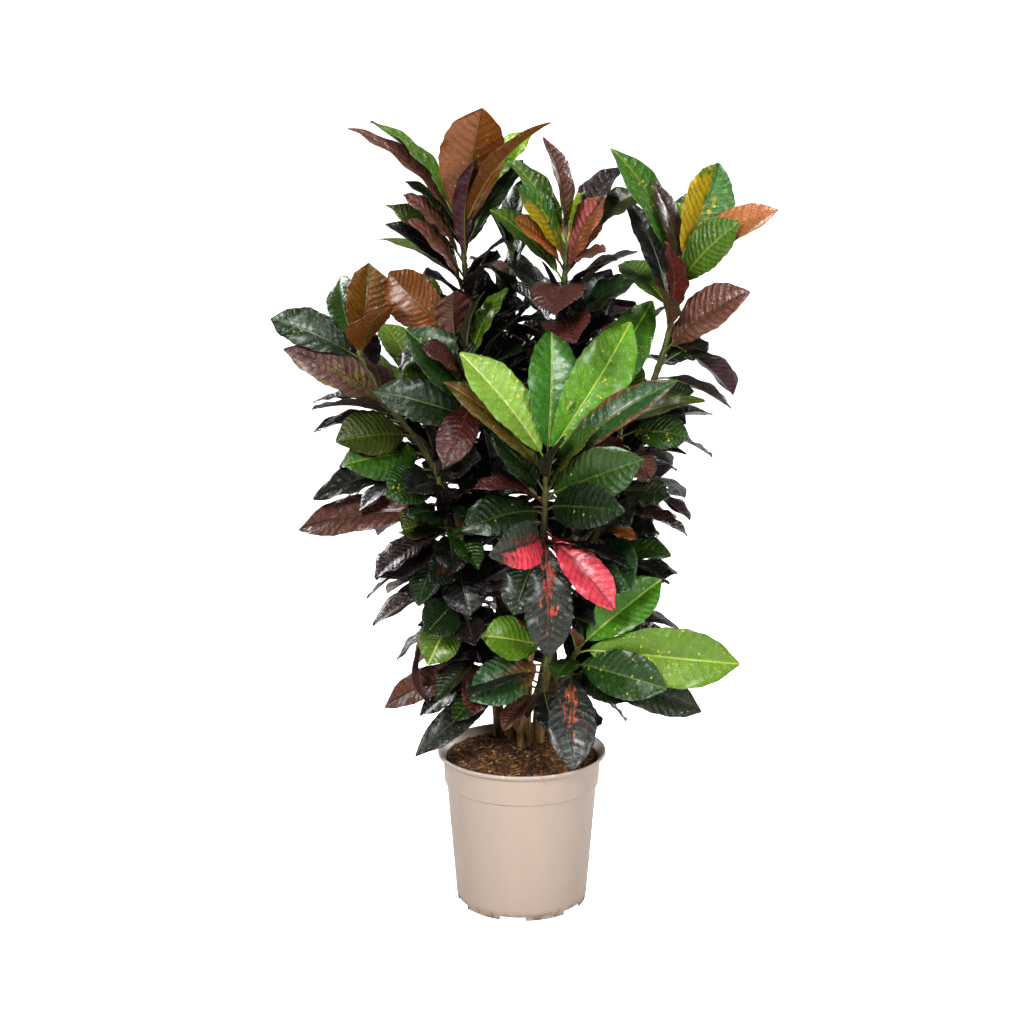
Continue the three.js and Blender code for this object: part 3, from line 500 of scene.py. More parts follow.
class Crowd:
    """The leaves placed so far and all stems, and how many of them a new leaf strikes."""

    FIELDS = ("base", "along", "across", "normal", "length", "half", "arch")

    def __init__(self, stems):
        self.placed = []
        self.stem_names = [name for name, _, _ in stems]
        self.stem_rooms = np.array([radius + CLEAR_STEM for _, _, radius in stems])
        longest = max(len(points) for _, points, _ in stems)
        self.stem_points = np.array([
            np.concatenate((points, np.repeat(points[-1:], longest - len(points), 0)))
            for _, points, _ in stems])

    def add(self, shoot, leaf):
        self.placed.append({"shoot": shoot, "leaf": leaf, "points": probes(leaf)})
        self.stack = {f: np.array([getattr(p["leaf"], f) for p in self.placed]) for f in self.FIELDS}
        self.stack["tip"] = np.array([p["leaf"].tip for p in self.placed])
        self.stack["points"] = np.array([p["points"] for p in self.placed])
        self.stack["shoot"] = np.array([p["shoot"] for p in self.placed])

    def struck_leaves(self, leaf, rows, first, margin, clearance, past):
        """How many of the placed leaves in rows this one strikes, from the first probe on."""
        number = int(rows.sum())
        if not number:
            return 0
        theirs = [self.stack[field][rows] for field in self.FIELDS]
        mine = [np.repeat(np.array([getattr(leaf, field)]), number, 0) for field in self.FIELDS]
        probe = np.repeat(probes(leaf)[None, first:], number, 0)
        hit = strikes(theirs, probe, margin, clearance, past)
        hit |= strikes(mine, self.stack["points"][rows][:, first:], margin, clearance, past)
        return int(hit.sum())

    def struck_by(self, leaf, shoot, inner=False):
        """Counts strikes; small inner leaves may pass closer to the others."""
        margin, clearance = (0, 1.5) if inner else (3, CLEAR_OTHER)
        count = 0
        if self.placed:
            s = self.stack
            near = np.linalg.norm(leaf.tip - s["base"], axis=1)
            near = near + np.linalg.norm(leaf.base - s["tip"], axis=1)
            close = near <= 2.2 * (leaf.length + s["length"])
            own = s["shoot"] == shoot
            count += self.struck_leaves(leaf, close & own, BASE_PROBES, 0, CLEAR_OWN, BASE_SHARE)
            count += OTHER_SHOOT * self.struck_leaves(leaf, close & ~own, 0, margin, clearance, 0.01)
        others = np.array([name != shoot for name in self.stem_names])
        rooms = self.stem_rooms[others]
        x = self.stem_points[others] - leaf.base
        u = x @ leaf.along / leaf.length
        off = np.abs(x @ leaf.across)
        over = (u > 0.01) & (u < 1)
        over &= off <= half_width(leaf.half, np.clip(u, 0.01, 0.999999)) + rooms[:, None]
        height = x @ leaf.normal - leaf.arch * 4 * u * (1 - u)
        touched = (over & (np.abs(height) < rooms[:, None])).any(axis=1)
        return count + OTHER_SHOOT * int(touched.sum())


def turns_to_try():
    """Turns of a leaf that would strike another: lift, swing and twist in degrees, and size.

    The twist is about its own length. The lift and swing grow in circles round its aim.
    """
    turns = []
    for size in SIZES:
        for twist in (0, 15, -15, 30, -30):
            turns.append((0, 0, twist, size))
        for ring in range(1, 5):
            far = RING_STEP * ring
            for twist in (0, 20, -20):
                for k in range(8):
                    angle = math.pi * k / 4
                    turns.append((far * math.cos(angle), far * math.sin(angle), twist, size))
    return turns


def near_turns(turns, reach):
    """The turns up to that many degrees, in full size and the smallest."""
    return [turn for turn in turns if math.hypot(*turn[:2]) < reach and turn[3] != SIZES[1]]


def settle(crowd, shoot, curve, want, ruled, turns):
    """Places a wanted leaf, turned or made smaller if it would strike another."""
    root, tip, width, face, arch = (want[key] for key in ("root", "tip", "width", "face", "arch"))
    direction = curve.tangent(want["at"])
    first = Leaf(root, tip, direction, width, face, arch)
    reach = tip - root
    distance = float(np.linalg.norm(reach))
    best, least = None, None
    for lift, swing, twist, share in turns:
        aim = unit(reach) + first.normal * math.tan(math.radians(lift))
        aim = unit(aim + first.across * math.tan(math.radians(swing)))
        tip = root + aim * (distance * share)
        leaf = Leaf(root, tip, direction, width * share, face + twist, arch)
        count = crowd.struck_by(leaf, shoot, want["inner"])
        if least is None or count < least:
            best, least = leaf, count
        if count == 0:
            break
    if ruled and least >= OTHER_SHOOT:
        return
    best.tint, best.at, best.inner = want["tint"], want["at"], want["inner"]
    crowd.add(shoot, best)


def leaf_in_direction(curve, at, azimuth, slope, length, width, face, tint=None, inner=False):
    """A wanted leaf that leaves its stem in a direction, whose angles are in radians."""
    root = curve.at(at)
    flat = math.cos(slope)
    reach = np.array((flat * math.cos(azimuth), flat * math.sin(azimuth), math.sin(slope)))
    return {"root": root, "tip": root + reach * length, "at": at, "width": width, "face": face,
            "arch": ARCH, "tint": tint, "inner": inner, "to_the_back": reach[1]}


def ruled_leaves(curve, rule, seed):
    """Leaves that climb a stem, spread by the golden share round the rule's aim."""
    count, start, end, aim, spread, usual_length, usual_width = rule
    draw = draws_from(seed)
    wants = []
    for i in range(count):
        climb = i / (count - 1)
        azimuth = math.radians(aim + ((i * GOLDEN) % 1 - 0.5) * spread)
        slope = math.radians(-8 + 70 * climb * climb + 16 * (draw() - 0.5))
        length = usual_length * (0.88 + 0.18 * draw())
        width = usual_width * (0.85 + 0.3 * draw())
        face = 24 * (draw() - 0.5)
        at = start + (end - start) * climb
        wants.append(leaf_in_direction(curve, at, azimuth, slope, length, width, face))
    return wants


def inner_leaves(curve, start, end, seed):
    """Old leaves in dark tints, the near-black one painted shade, that hang close round a stem, between
    two shares of its length.
    """
    draw = draws_from(seed)
    wants = []
    for i in range(INNER_COUNT):
        at = start + (end - start) * (i + 0.5) / INNER_COUNT
        azimuth = math.tau * ((i * GOLDEN + 0.1) % 1) - math.pi / 2
        slope = math.radians(10 - 45 * draw())
        length, width, face = 108 + 40 * draw(), 56 + 14 * draw(), 30 * (draw() - 0.5)
        tint = INNER_TINTS[int(draw() * len(INNER_TINTS))]
        want = leaf_in_direction(curve, at, azimuth, slope, length, width, face, tint, inner=True)
        if want["tip"][2] > LOWEST_INNER_TIP and want["to_the_back"] > MOST_TO_THE_FRONT:
            wants.append(want)
    return wants


def seen_leaves(curve, rows, inner=False):
    """The leaves that rows place as the eye sees them."""
    wants = []
    share = (EYE_DISTANCE + curve.at(0.7)[1]) / EYE_DISTANCE
    for height, tip_x, tip_z, front, width, face, tint, *arch in rows:
        at = curve.share_at_height(EYE_HEIGHT + (height - EYE_HEIGHT) * share)
        wants.append({"root": curve.at(at), "tip": seen(tip_x, tip_z, front), "at": at, "width": width,
                      "face": face, "arch": arch[0] if arch else ARCH, "tint": tint, "inner": inner})
    return wants


def lay_out_plant():
    """Every cane's and shoot's curve, and the leaves of all shoots in places that suit them all."""
    shoots = {**SHOOTS, **REAR_SHOOTS}
    canes = {name: SmoothCurve(points) for name, (points, _) in CANES.items()}
    stems = []
    for name, curve in canes.items():
        stems.append((name, np.array([curve.at(i / 40) for i in range(41)]), CANES[name][1][1]))
    curves = {}
    for name, shoot in shoots.items():
        cane, share = shoot["seat"]
        rest = shoot["path"] if "path" in shoot else [seen(*row) for row in shoot["stem"]]
        curves[name] = curve = SmoothCurve([canes[cane].at(share), *rest])
        stems.append((name, np.array([curve.at(i / 30) for i in range(31)]), SHOOT_ROOM))

    crowd = Crowd(stems)
    turns = turns_to_try()
    for name, curve in curves.items():
        for want in seen_leaves(curve, shoots[name].get("leaves", ())):
            settle(crowd, name, curve, want, False, turns)
    for number, (name, curve) in enumerate(curves.items()):
        if "rear" in shoots[name]:
            for want in ruled_leaves(curve, shoots[name]["rear"], 11 + 7 * number):
                settle(crowd, name, curve, want, True, turns)
    some_turns = near_turns(turns, SOME_TURNS)
    few_turns = [turn for turn in near_turns(turns, FEW_TURNS) if turn[2] == 0]
    for number, (name, curve) in enumerate(curves.items()):
        for want in seen_leaves(curve, INNER_ROWS.get(name, ()), inner=True):
            settle(crowd, name, curve, want, True, some_turns)
        for want in inner_leaves(curve, *INNER_OF_SHOOT, 301 + number):
            settle(crowd, name, curve, want, True, few_turns)
        cane, share = shoots[name]["seat"]
        if share > NEAR_TOP:
            for want in inner_leaves(canes[cane], *INNER_OF_CANE, 401 + number):
                settle(crowd, name, canes[cane], want, True, few_turns)
    return canes, curves, crowd.placed


# ------------------------------------------------------------------ leaf colours


def linear(code):
    """A colour in Blender's linear values, from the usual six figures of a screen colour."""
    values = [int(code[i:i + 2], 16) / 255 for i in (0, 2, 4)]
    return tuple(v / 12.92 if v <= 0.04045 else ((v + 0.055) / 1.055) ** 2.4 for v in values)


# What a tint is made of: the upper side's ground and second colour, the veins, the
# underside, then how strongly the second colour lies near the base, along the edges, over
# one half and in blotches, the share of yellow speckles and how far the veins quilt it.
TINTS = {
    "bronze": ("7a4410", "a8521c", "3c2610", "804a1a", 0.6, 0.12, 0.0, 0.35, 0.5, 1.0),
    "rose bronze": ("7c4a30", "a8505a", "4c2a1c", "8a4a44", 0.8, 0.2, 0.7, 0.3, 0.0, 1.0),
    "olive bronze": ("6a4a12", "742f10", "4c4c18", "804a1a", 0.3, 0.5, 0.0, 1.0, 0.05, 1.0),
    "mauve": ("6c4436", "5a342c", "30201c", "7c5450", 0.3, 0.2, 0.3, 0.3, 0.0, 1.0),
    "patched mauve": ("5c3c36", "7a7430", "32201c", "6e4444", 0.2, 0.3, 0.0, 0.8, 0.0, 1.0),
    "purple": ("2e1d20", "241816", "1a1012", "4c2c34", 0.2, 0.3, 0.2, 0.3, 0.0, 0.9),
    "brown": ("3e241a", "2c1c14", "1c120c", "5a3428", 0.2, 0.3, 0.2, 0.4, 0.0, 0.8),
    "red brown": ("4c211a", "341816", "240f0c", "6a3028", 0.4, 0.3, 0.2, 0.4, 0.0, 0.8),
    "crimson": ("6a1a1e", "2e1412", "2a0c0c", "7a2a2c", 0.3, 0.4, 0.0, 0.4, 0.0, 0.8),
    # painted shade: a near-black tint for leaves that stand in the plant's shade
    "black": ("121410", "1e1816", "0a0b08", "35242a", 0.2, 0.3, 0.2, 0.3, 0.0, 0.7),
    "grey": ("242a20", "1e1f1a", "141810", "463c3c", 0.2, 0.3, 0.2, 0.3, 0.0, 0.8),
    "grey green": ("2f3b22", "242c18", "1a2210", "4c443c", 0.2, 0.3, 0.2, 0.3, 0.03, 0.9),
    "olive": ("3c4a12", "4a3a18", "55601a", "5c4426", 0.3, 0.5, 0.0, 0.3, 0.1, 0.8),
    "bright olive": ("55760e", "3c5810", "98a434", "5c5426", 0.0, 0.3, 0.2, 0.0, 0.1, 0.8),
    "dark green": ("132a09", "10200a", "2e4a18", "3a3428", 0.1, 0.3, 0.2, 0.2, 0.1, 0.8),
    "mid green": ("244408", "1c360a", "46621a", "4a5028", 0.0, 0.3, 0.3, 0.2, 0.12, 0.8),
    "gloss green": ("22421a", "1a3214", "3e5c22", "44402c", 0.2, 0.3, 0.2, 0.2, 0.04, 0.6),
    "quilted": ("38741a", "1c480c", "98b45c", "55602c", 0.08, 0.05, 0.06, 0.1, 0.06, 1.0),
    "green": ("4a6812", "34500e", "6e8c28", "55602c", 0.1, 0.2, 0.3, 0.1, 0.2, 0.8),
    "bright": ("4c8418", "33640e", "a0bc48", "6a7c34", 0.0, 0.2, 0.2, 0.0, 0.25, 0.8),
    "bright speckled": ("5a8e1a", "33640e", "a8c048", "6a6c34", 0.1, 0.2, 0.2, 0.0, 0.8, 0.9),
    "pale": ("86a83a", "4e8020", "d0d890", "8a5a3c", 0.0, 0.3, 0.3, 0.0, 0.35, 0.9),
    "lime": ("7a9a14", "58800f", "b4bc50", "8a9a30", 0.1, 0.2, 0.2, 0.0, 0.2, 0.7),
    "yellow green": ("6c8c1c", "4a6c12", "a0b040", "6a7430", 0.3, 0.4, 0.4, 0.0, 0.9, 0.6),
    "speckled": ("345c12", "24440f", "7a8c28", "555c2c", 0.1, 0.3, 0.2, 0.0, 1.1, 0.9),
    "speckled dark": ("22440f", "162f0f", "506c20", "3e3c28", 0.1, 0.3, 0.2, 0.0, 0.9, 0.9),
    "sunset": ("35641a", "b0920a", "24521a", "70602c", 0.3, 0.0, 0.8, 0.6, 0.6, 0.9),
    "orange": ("8a5c22", "b8482c", "6c3c1c", "a06038", 0.2, 0.3, 0.4, 0.8, 0.2, 0.7),
    "salmon": ("a8683a", "6c4c24", "8c5028", "b07048", 0.2, 0.2, 0.5, 0.5, 0.0, 0.6),
    "rust": ("5c4a1c", "44601c", "8a6a34", "94603c", 0.5, 0.2, 0.0, 0.2, 0.3, 0.8),
    "tan back": ("38581a", "5a4c1c", "7c6428", "94603c", 0.2, 0.4, 0.2, 0.0, 0.2, 0.8),
    "red rimmed": ("22421a", "743020", "4c662a", "6a3c28", 0.1, 0.9, 0.0, 0.0, 0.3, 0.8),
    "blotched": ("232b1c", "c84a34", "1e2014", "4c3a34", 0.0, 0.0, 0.0, 0.85, 0.0, 1.0),
    "blotched grey": ("30342f", "b85a44", "1f211c", "4c3c3a", 0.0, 0.0, 0.0, 0.9, 0.0, 1.0),
    "pink": ("d84a58", "4c1c1c", "5a1c20", "b84a50", 0.0, 0.0, 0.1, 0.45, 0.1, 0.8),
    "pink half": ("3a4634", "d2485a", "2a2420", "7a4a48", 0.0, 0.0, 1.0, 0.4, 0.0, 0.9),
    "pink strap": ("3c3c30", "c86a5c", "2a2a20", "6a4c44", 1.0, 0.3, 0.0, 0.3, 0.1, 0.8),
    "cream rose": ("24481c", "b85c46", "24401c", "5c4c38", 0.5, 0.0, 0.0, 0.3, 0.1, 0.9),
    "dry": ("a0602a", "6c3c1c", "70401c", "a06a38", 0.3, 0.3, 0.2, 0.6, 0.0, 0.6),
}

# Tints that leaves of a rule draw from, by how high they stand; the near-black one among the low tints is
# painted shade.
HIGH_TINTS = ("dark green", "green", "bronze", "mauve", "mid green", "dark green", "purple", "olive",
              "lime", "speckled")
LOW_TINTS = ("dark green", "black", "grey green", "dark green", "purple", "mid green", "brown", "grey",
             "speckled dark")
HIGH = 640

GREEN_STALKS = ("bright", "bright speckled", "pale", "lime", "green", "yellow green", "bright olive")
RED_STALKS = ("red brown", "crimson", "pink", "blotched", "pink strap")
SPECKLE_COLOUR = (*linear("c8b83a"), 1)
STEM_COLOURS = [np.array((*linear(code), 1.0)) for code in ("3a2a1c", "4c5826")]


def stalk_colour(tint):
    return linear("8a9c3c" if tint in GREEN_STALKS else "7a3c28" if tint in RED_STALKS else "5c5a2c")


# ------------------------------------------------------------------ meshes


class Patchwork:
    """One mesh put together from tubes of points, with a bake map and named values."""

    def __init__(self, kinds):
        self.kinds = kinds
        self.points, self.faces, self.corners, self.patches = [], [], [], []
        self.values = {name: [] for name in kinds}
        self.count = 0

    def add(self, grid, values):
        """Adds closed rings with both ends capped.

        grid: rows x columns x 3 in metres. values: name -> rows x columns x size.
        """
        rows, columns, _ = grid.shape
        r, c = np.meshgrid(np.arange(rows - 1), np.arange(columns), indexing="ij")
        a = r * columns + c
        b = r * columns + (c + 1) % columns
        quads = np.stack((a, b, b + columns, a + columns), -1).reshape(-1, 4) + self.count
        ends = ((r, c), (r, c + 1), (r + 1, c + 1), (r + 1, c))
        spots = np.stack([np.stack(end, -1) for end in ends], 2).reshape(-1, 4, 2)
        spots = spots / np.array((rows - 1, columns))
        self.faces.extend(quads.tolist())
        self.corners.append((len(self.patches), spots.reshape(-1, 2)))
        first = list(range(self.count, self.count + columns))
        last = [k + (rows - 1) * columns for k in first]
        for ring, place in ((first[::-1], 0.0), (last, 1.0)):
            self.faces.append(ring)
            self.corners.append((len(self.patches), np.tile((place, 0.5), (columns, 1))))
        self.patches.append(rows / columns)
        self.points.append(grid.reshape(-1, 3))
        for name, size in self.kinds.items():
            value = np.asarray(values.get(name, np.zeros(size)), float)
            self.values[name].append(np.broadcast_to(value, (rows, columns, size)).reshape(-1, size))
        self.count += rows * columns

    def build(self, name, material=None):
        """Makes the piece, which rides on the part's one body."""
        mesh = bpy.data.meshes.new(name)
        mesh.from_pydata(np.concatenate(self.points).tolist(), [], self.faces)
        columns = max(1, round(math.sqrt(len(self.patches) / 2.2)))
        rows = math.ceil(len(self.patches) / columns)
        corners = []
        for patch, spots in self.corners:
            cell = np.array((patch % columns, patch // columns))
            corners.append((cell + 0.04 + 0.92 * spots) / np.array((columns, rows)))
        bake_map = mesh.uv_layers.new(name="OFBake")
        bake_map.data.foreach_set("uv", np.concatenate(corners).astype(np.float32).ravel())
        for key, size in self.kinds.items():
            kind = {3: "FLOAT_VECTOR", 4: "FLOAT_COLOR"}[size]
            layer = mesh.attributes.new(key, kind, "POINT")
            stacked = np.concatenate(self.values[key]).astype(np.float32).ravel()
            layer.data.foreach_set("color" if size == 4 else "vector", stacked)
        mesh.polygons.foreach_set("use_smooth", np.ones(len(self.faces), bool))
        if material:
            mesh.materials.append(material)
        piece = bpy.data.objects.new(name, mesh)
        bpy.context.scene.collection.objects.link(piece)
        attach(piece, "root")
        return piece


def tube(centres, radii, sides):
    """Rings round a path that don't twist, as a grid of points."""
    centres = np.asarray(centres, float)
    radii = np.broadcast_to(np.asarray(radii, float), (len(centres),))
    forward = np.gradient(centres, axis=0)
    forward /= np.linalg.norm(forward, axis=1)[:, None]
    spoke = np.cross(forward[0], (0.3, 1.0, 0.2))
    rings = []
    angles = np.linspace(0, math.tau, sides, endpoint=False)
    for centre, ahead, radius in zip(centres, forward, radii):
        spoke = spoke - ahead * np.dot(spoke, ahead)
        spoke /= np.linalg.norm(spoke)
        other = np.cross(ahead, spoke)
        spokes = np.cos(angles)[:, None] * spoke + np.sin(angles)[:, None] * other
        rings.append(centre + radius * spokes)
    return np.array(rings)


# What each point of a leaf carries besides its colours. place: share of the length, share of
# the half width, count of side veins. flat: metres along and across, and a number of the leaf's
# own. amounts: the second colour near the base, along the edge and in blotches. extras: the
# second colour over one half, speckles, quilting.
LEAF_VALUES = {"ground": 4, "second": 4, "vein": 4, "place": 3, "flat": 3, "amounts": 3, "extras": 3}
# Columns of a blade from edge to edge, and of a small inner one.
INNER_COLUMNS = np.array((-1, -0.7, -0.35, -0.04, 0.04, 0.35, 0.7, 1))
BLADE_COLUMNS = np.array((-1, -0.965, -0.84, -0.68, -0.52, -0.36, -0.2, -0.08, -0.025,
                          0.025, 0.08, 0.2, 0.36, 0.52, 0.68, 0.84, 0.965, 1))


def varied(colour, draw, amount):
    """The colour a little lighter or darker, and a little warmer or cooler."""
    light = 1 + amount * (2 * draw() - 1)
    warm = 1 + 0.5 * amount * (2 * draw() - 1)
    return np.array((colour[0] * light * warm, colour[1] * light, colour[2] * light / warm, 1.0))


def fine_half_width(leaf, u):
    """Half the blade's width, drawn in towards the base and out into a point at the tip."""
    towards_base = 1 - 0.3 * np.clip(1 - u / 0.4, 0, 1)
    towards_tip = 1 + 0.07 * np.sin(math.pi * np.clip((u - 0.45) / 0.45, 0, 1))
    towards_tip = towards_tip - 0.5 * np.clip((u - 0.84) / 0.16, 0, 1) ** 1.4
    return leaf.half_width(u) * towards_base * towards_tip


class Blade:
    """A leaf's blade with a channelled midrib, quilted side veins and waved edges.

    u runs along it and v across it from edge to edge; y is v in millimetres.
    """

    def __init__(self, leaf, quilting, draw, sizes):
        self.leaf, self.sizes, self.quilting = leaf, sizes, quilting
        self.own = draw() * 50
        self.fold = sizes.fold * (0.5 + draw())
        self.waves = 2.2 + 2.2 * draw()
        self.phase = draw() * 6.28
        self.wave_height = sizes.edge_wave / MM * (0.4 + 0.8 * draw())
        self.vein_pairs = 11 + 4 * draw()
        self.flip = 1 if draw() < 0.5 else -1
        self.droop = 0.36 * leaf.length * (draw() - 0.2)
        self.columns = INNER_COLUMNS if leaf.inner else BLADE_COLUMNS
        self.stations = sizes.stations // 2 if leaf.inner else sizes.stations

        u = 0.5 - 0.5 * np.cos(np.linspace(0.06, math.pi - 0.05, self.stations))
        self.u = ((u - u[0]) / (u[-1] - u[0]) * 0.994 + 0.003)[:, None]
        self.v = self.columns[None, :]
        half = np.maximum(fine_half_width(leaf, self.u), np.where(self.u < 0.3, 1.3, 0.25))
        self.half = half * (1 + 0.02 * np.sin(self.waves * 3 * self.u * 6.28 + self.phase))
        self.y = self.v * self.half
        off = np.abs(self.y)
        self.veins = self.vein_pairs * (self.u - (0.45 * off + 0.22 * off * self.v ** 2) / leaf.length)

    def puff(self):
        """The swell between the side veins, which dies out at the edges, ends and midrib."""
        u, v, own = self.u, self.v, self.own
        puff = np.abs(np.sin(math.pi * self.veins)) ** 0.8 - 0.6
        puff = puff * (1 - np.abs(v) ** 4) * np.minimum(1, 6 * u) * np.minimum(1, 8 * (1 - u))
        puff = puff * np.minimum(1, np.abs(self.y) / 5)
        return puff * (0.8 + 0.7 * np.sin(29 * u + 5 * v + own) * np.sin(13 * u - 4 * v + 2 * own))

    def lift(self):
        """Height of the upper side over the leaf's plain arch."""
        u, v, y, half = self.u, self.v, self.y, self.half
        lift = self.fold * (np.abs(y) - 0.45 * half) - 0.10 * half * v ** 4
        wave = np.sin(self.waves * u * 6.28 + self.phase * v)
        lift = lift + self.wave_height * wave * np.abs(v) ** 2.2 * np.minimum(1, 5 * u)
        lift = lift + self.sizes.quilting / MM * self.quilting * self.puff()
        channel = 0.9 * np.exp(-(y / 1.3) ** 2) * (1 - u)
        return lift - channel - self.droop * np.maximum(0, u - 0.8) ** 2

    def add_to(self, patchwork, colours, amounts, extras):
        """Adds both sides; colours: two each for ground, second colour and veins."""
        lift = self.lift()
        thick = self.sizes.thickness / MM * (1 - 0.45 * self.v ** 2)
        along = np.broadcast_to(self.u, self.y.shape)
        top = self.leaf.point(along, self.y, lift)
        bottom = self.leaf.point(along, self.y, lift - thick)

        def both(values):
            return np.concatenate((values, values[..., ::-1]), axis=-1)

        rows = (self.stations, 2 * self.columns.size)
        is_under = np.repeat((1.0, 0.0), self.columns.size)[None, :, None]
        across = np.broadcast_to(both(self.columns) * self.flip, rows)
        place = np.stack((np.broadcast_to(self.u, rows), across, both(self.veins)), -1)
        along = np.broadcast_to(self.u * self.leaf.length * MM, rows)
        flat = np.stack((along, both(self.y) * MM, np.full(rows, self.own)), -1)
        sides = {key: upper * (1 - is_under) + under * is_under
                 for key, (upper, under) in colours.items()}
        patchwork.add(np.concatenate((bottom, top[:, ::-1]), axis=1) * MM, {
            **sides, "place": place, "flat": flat, "amounts": amounts,
            "extras": np.array(extras) * (1 - 0.6 * is_under),
        })


def add_stalk(patchwork, blade, colour):
    """A leaf's bare stalk, which runs on under its blade as a ridge."""
    leaf, thick = blade.leaf, blade.sizes.stalk_radius
    share = np.linspace(0.02, 0.9, 16)
    ridge = leaf.point(share, np.zeros(16), -0.7 - 0.45 * blade.fold * leaf.half_width(share))
    stalk = [leaf.root + (leaf.base - leaf.root) * k for k in (0.0, 0.3, 0.6, 0.85)]
    radii = np.concatenate((np.full(4, thick), thick * (1 - 0.85 * share)))
    patchwork.add(tube(np.concatenate((stalk, ridge)) * MM, radii, 8), {
        "ground": colour, "second": colour * 0.8, "vein": colour,
        "place": (0.5, 0.5, 0.5), "flat": (0.0, 0.02, blade.own), "amounts": (0, 0, 0.5),
    })


def add_leaf(patchwork, leaf, tint, draw, sizes):
    """A blade in its tint's colours, and its stalk."""
    by_base, by_edge, on_half, blotches, speckles, quilting = TINTS[tint][4:]
    blade = Blade(leaf, quilting, draw, sizes)
    ground, second, vein = (varied(linear(code), draw, 0.16) for code in TINTS[tint][:3])
    under = varied(linear(TINTS[tint][3]), draw, 0.12)
    colours = {"ground": (ground, under), "second": (second, 0.75 * under), "vein": (vein, 0.7 * under)}
    blade.add_to(patchwork, colours, (by_base, by_edge, blotches), (on_half, speckles, quilting))
    add_stalk(patchwork, blade, varied(stalk_colour(tint), draw, 0.15))


def unrolled(along, around, own):
    """Places on a rolled-out tube: metres along and around it, and a number of its own."""
    size = (len(along), len(around))
    along, around = np.broadcast_to(along[:, None], size), np.broadcast_to(around, size)
    return np.stack((along, around, np.full(size, own)), -1)


def add_stem(patchwork, curve, leaves, draw):
    """A young stem: green and smooth at its top, browner below, a ring of scar at each leaf."""
    rows = max(12, int(curve.length / 3))
    share = np.linspace(0, 1, rows)
    radius = 6.0 + (2.9 - 6.0) * share
    for leaf in leaves:
        if not leaf.inner:
            radius = radius + 0.9 * np.exp(-((share - leaf.at) * curve.length / 2.2) ** 2)
    for k in range(int(curve.length / 9)):
        at = (k + draw()) * 9 / curve.length
        radius = radius + 0.35 * np.exp(-((share - at) * curve.length / 1.2) ** 2)
    grid = tube([curve.at(s) for s in share], radius, 14)
    low, high = STEM_COLOURS
    mix = np.clip((share - 0.25) * 1.5, 0, 1)[:, None, None]
    ground = low * (1 - mix) + high * mix
    flat = unrolled(share * curve.length * MM, np.linspace(0, 0.03, 14), draw() * 50)
    patchwork.add(grid * MM, {
        "ground": ground, "second": ground * np.array((0.55, 0.5, 0.5, 1)), "vein": ground,
        "place": (0.5, 0.5, 0.5), "flat": flat, "amounts": (0, 0, 0.8), "extras": (0, 0.25, 0.6),
    })


# ------------------------------------------------------------------ shader nodes


class Wire:
    """An output of a shader node. Sums, products and mixes of wires add the nodes for them."""

    def __init__(self, tree, socket):
        self.tree, self.socket = tree, socket

    def into(self, kind, inputs, output=0, **settings):
        return Wire(self.tree, node(self.tree, kind, inputs, **settings).outputs[output])

    def maths(self, operation, *others):
        return self.into("ShaderNodeMath", dict(enumerate((self, *others))), operation=operation)

    def __add__(self, other):
        return self.maths("ADD", other)

    def __sub__(self, other):
        return self.maths("SUBTRACT", other)

    def __mul__(self, other):
        return self.maths("MULTIPLY", other)

    def __abs__(self):
        return self.maths("ABSOLUTE")

    def most(self, other):
        return self.maths("MAXIMUM", other)

    def vector(self, operation, *others):
        return self.into("ShaderNodeVectorMath", dict(enumerate((self, *others))), operation=operation)

    def parts(self):
        split = node(self.tree, "ShaderNodeSeparateXYZ", {0: self})
        return [Wire(self.tree, socket) for socket in split.outputs]

    def eased(self, start, end, low=0.0, high=1.0):
        """low up to start, high from end on, smooth between them; start may be above end."""
        if start > end:
            start, end, low, high = end, start, high, low
        inputs = {0: self, 1: start, 2: end, 3: low, 4: high}
        return self.into("ShaderNodeMapRange", inputs, interpolation_type="SMOOTHSTEP")

    def noise(self, scale, detail=3.0, roughness=0.55, output=0):
        inputs = {"Vector": self, "Scale": scale, "Detail": detail, "Roughness": roughness}
        return self.into("ShaderNodeTexNoise", inputs, output)

    def mix(self, first, second):
        """The first colour where this wire is 0, the second where it is 1."""
        return self.into("ShaderNodeMix", {0: self, 6: first, 7: second}, 2, data_type="RGBA")

    def shade(self, colour, factor):
        """The colour, multiplied by the factor where this wire is 1."""
        full = self.into("ShaderNodeMix", {0: 1.0, 6: colour, 7: (*factor, 1)}, 2, data_type="RGBA",
                         blend_type="MULTIPLY")
        return self.mix(colour, full)


def join(tree, target, inputs):
    """Links wires to a node's inputs and sets its other inputs to plain values."""
    for key, value in inputs.items():
        if isinstance(value, Wire):
            tree.links.new(value.socket, target.inputs[key])
        else:
            target.inputs[key].default_value = value


def node(tree, kind, inputs, **settings):
    made = tree.nodes.new(kind)
    for name, value in settings.items():
        setattr(made, name, value)
    join(tree, made, inputs)
    return made


def wires_of(tree, made):
    return {socket.name: Wire(tree, socket) for socket in made.outputs if socket.name}


def carried(tree, name, output="Vector"):
    """A value that the mesh carries; its Color output for a colour."""
    return Wire(tree, node(tree, "ShaderNodeAttribute", {}, attribute_name=name).outputs[output])


def new_group(name, inputs, outputs):
    """A node group with named sockets: its tree, what it is given, and its output node."""
    tree = bpy.data.node_groups.new(name, "ShaderNodeTree")
    for label, kind in inputs.items():
        tree.interface.new_socket(label, in_out="INPUT", socket_type="NodeSocket" + kind)
    for label in outputs:
        tree.interface.new_socket(label, in_out="OUTPUT", socket_type="NodeSocketFloat")
    given = wires_of(tree, tree.nodes.new("NodeGroupInput"))
    return tree, given, tree.nodes.new("NodeGroupOutput")


def use_group(tree, name, inputs):
    return wires_of(tree, node(tree, "ShaderNodeGroup", inputs, node_tree=bpy.data.node_groups[name]))


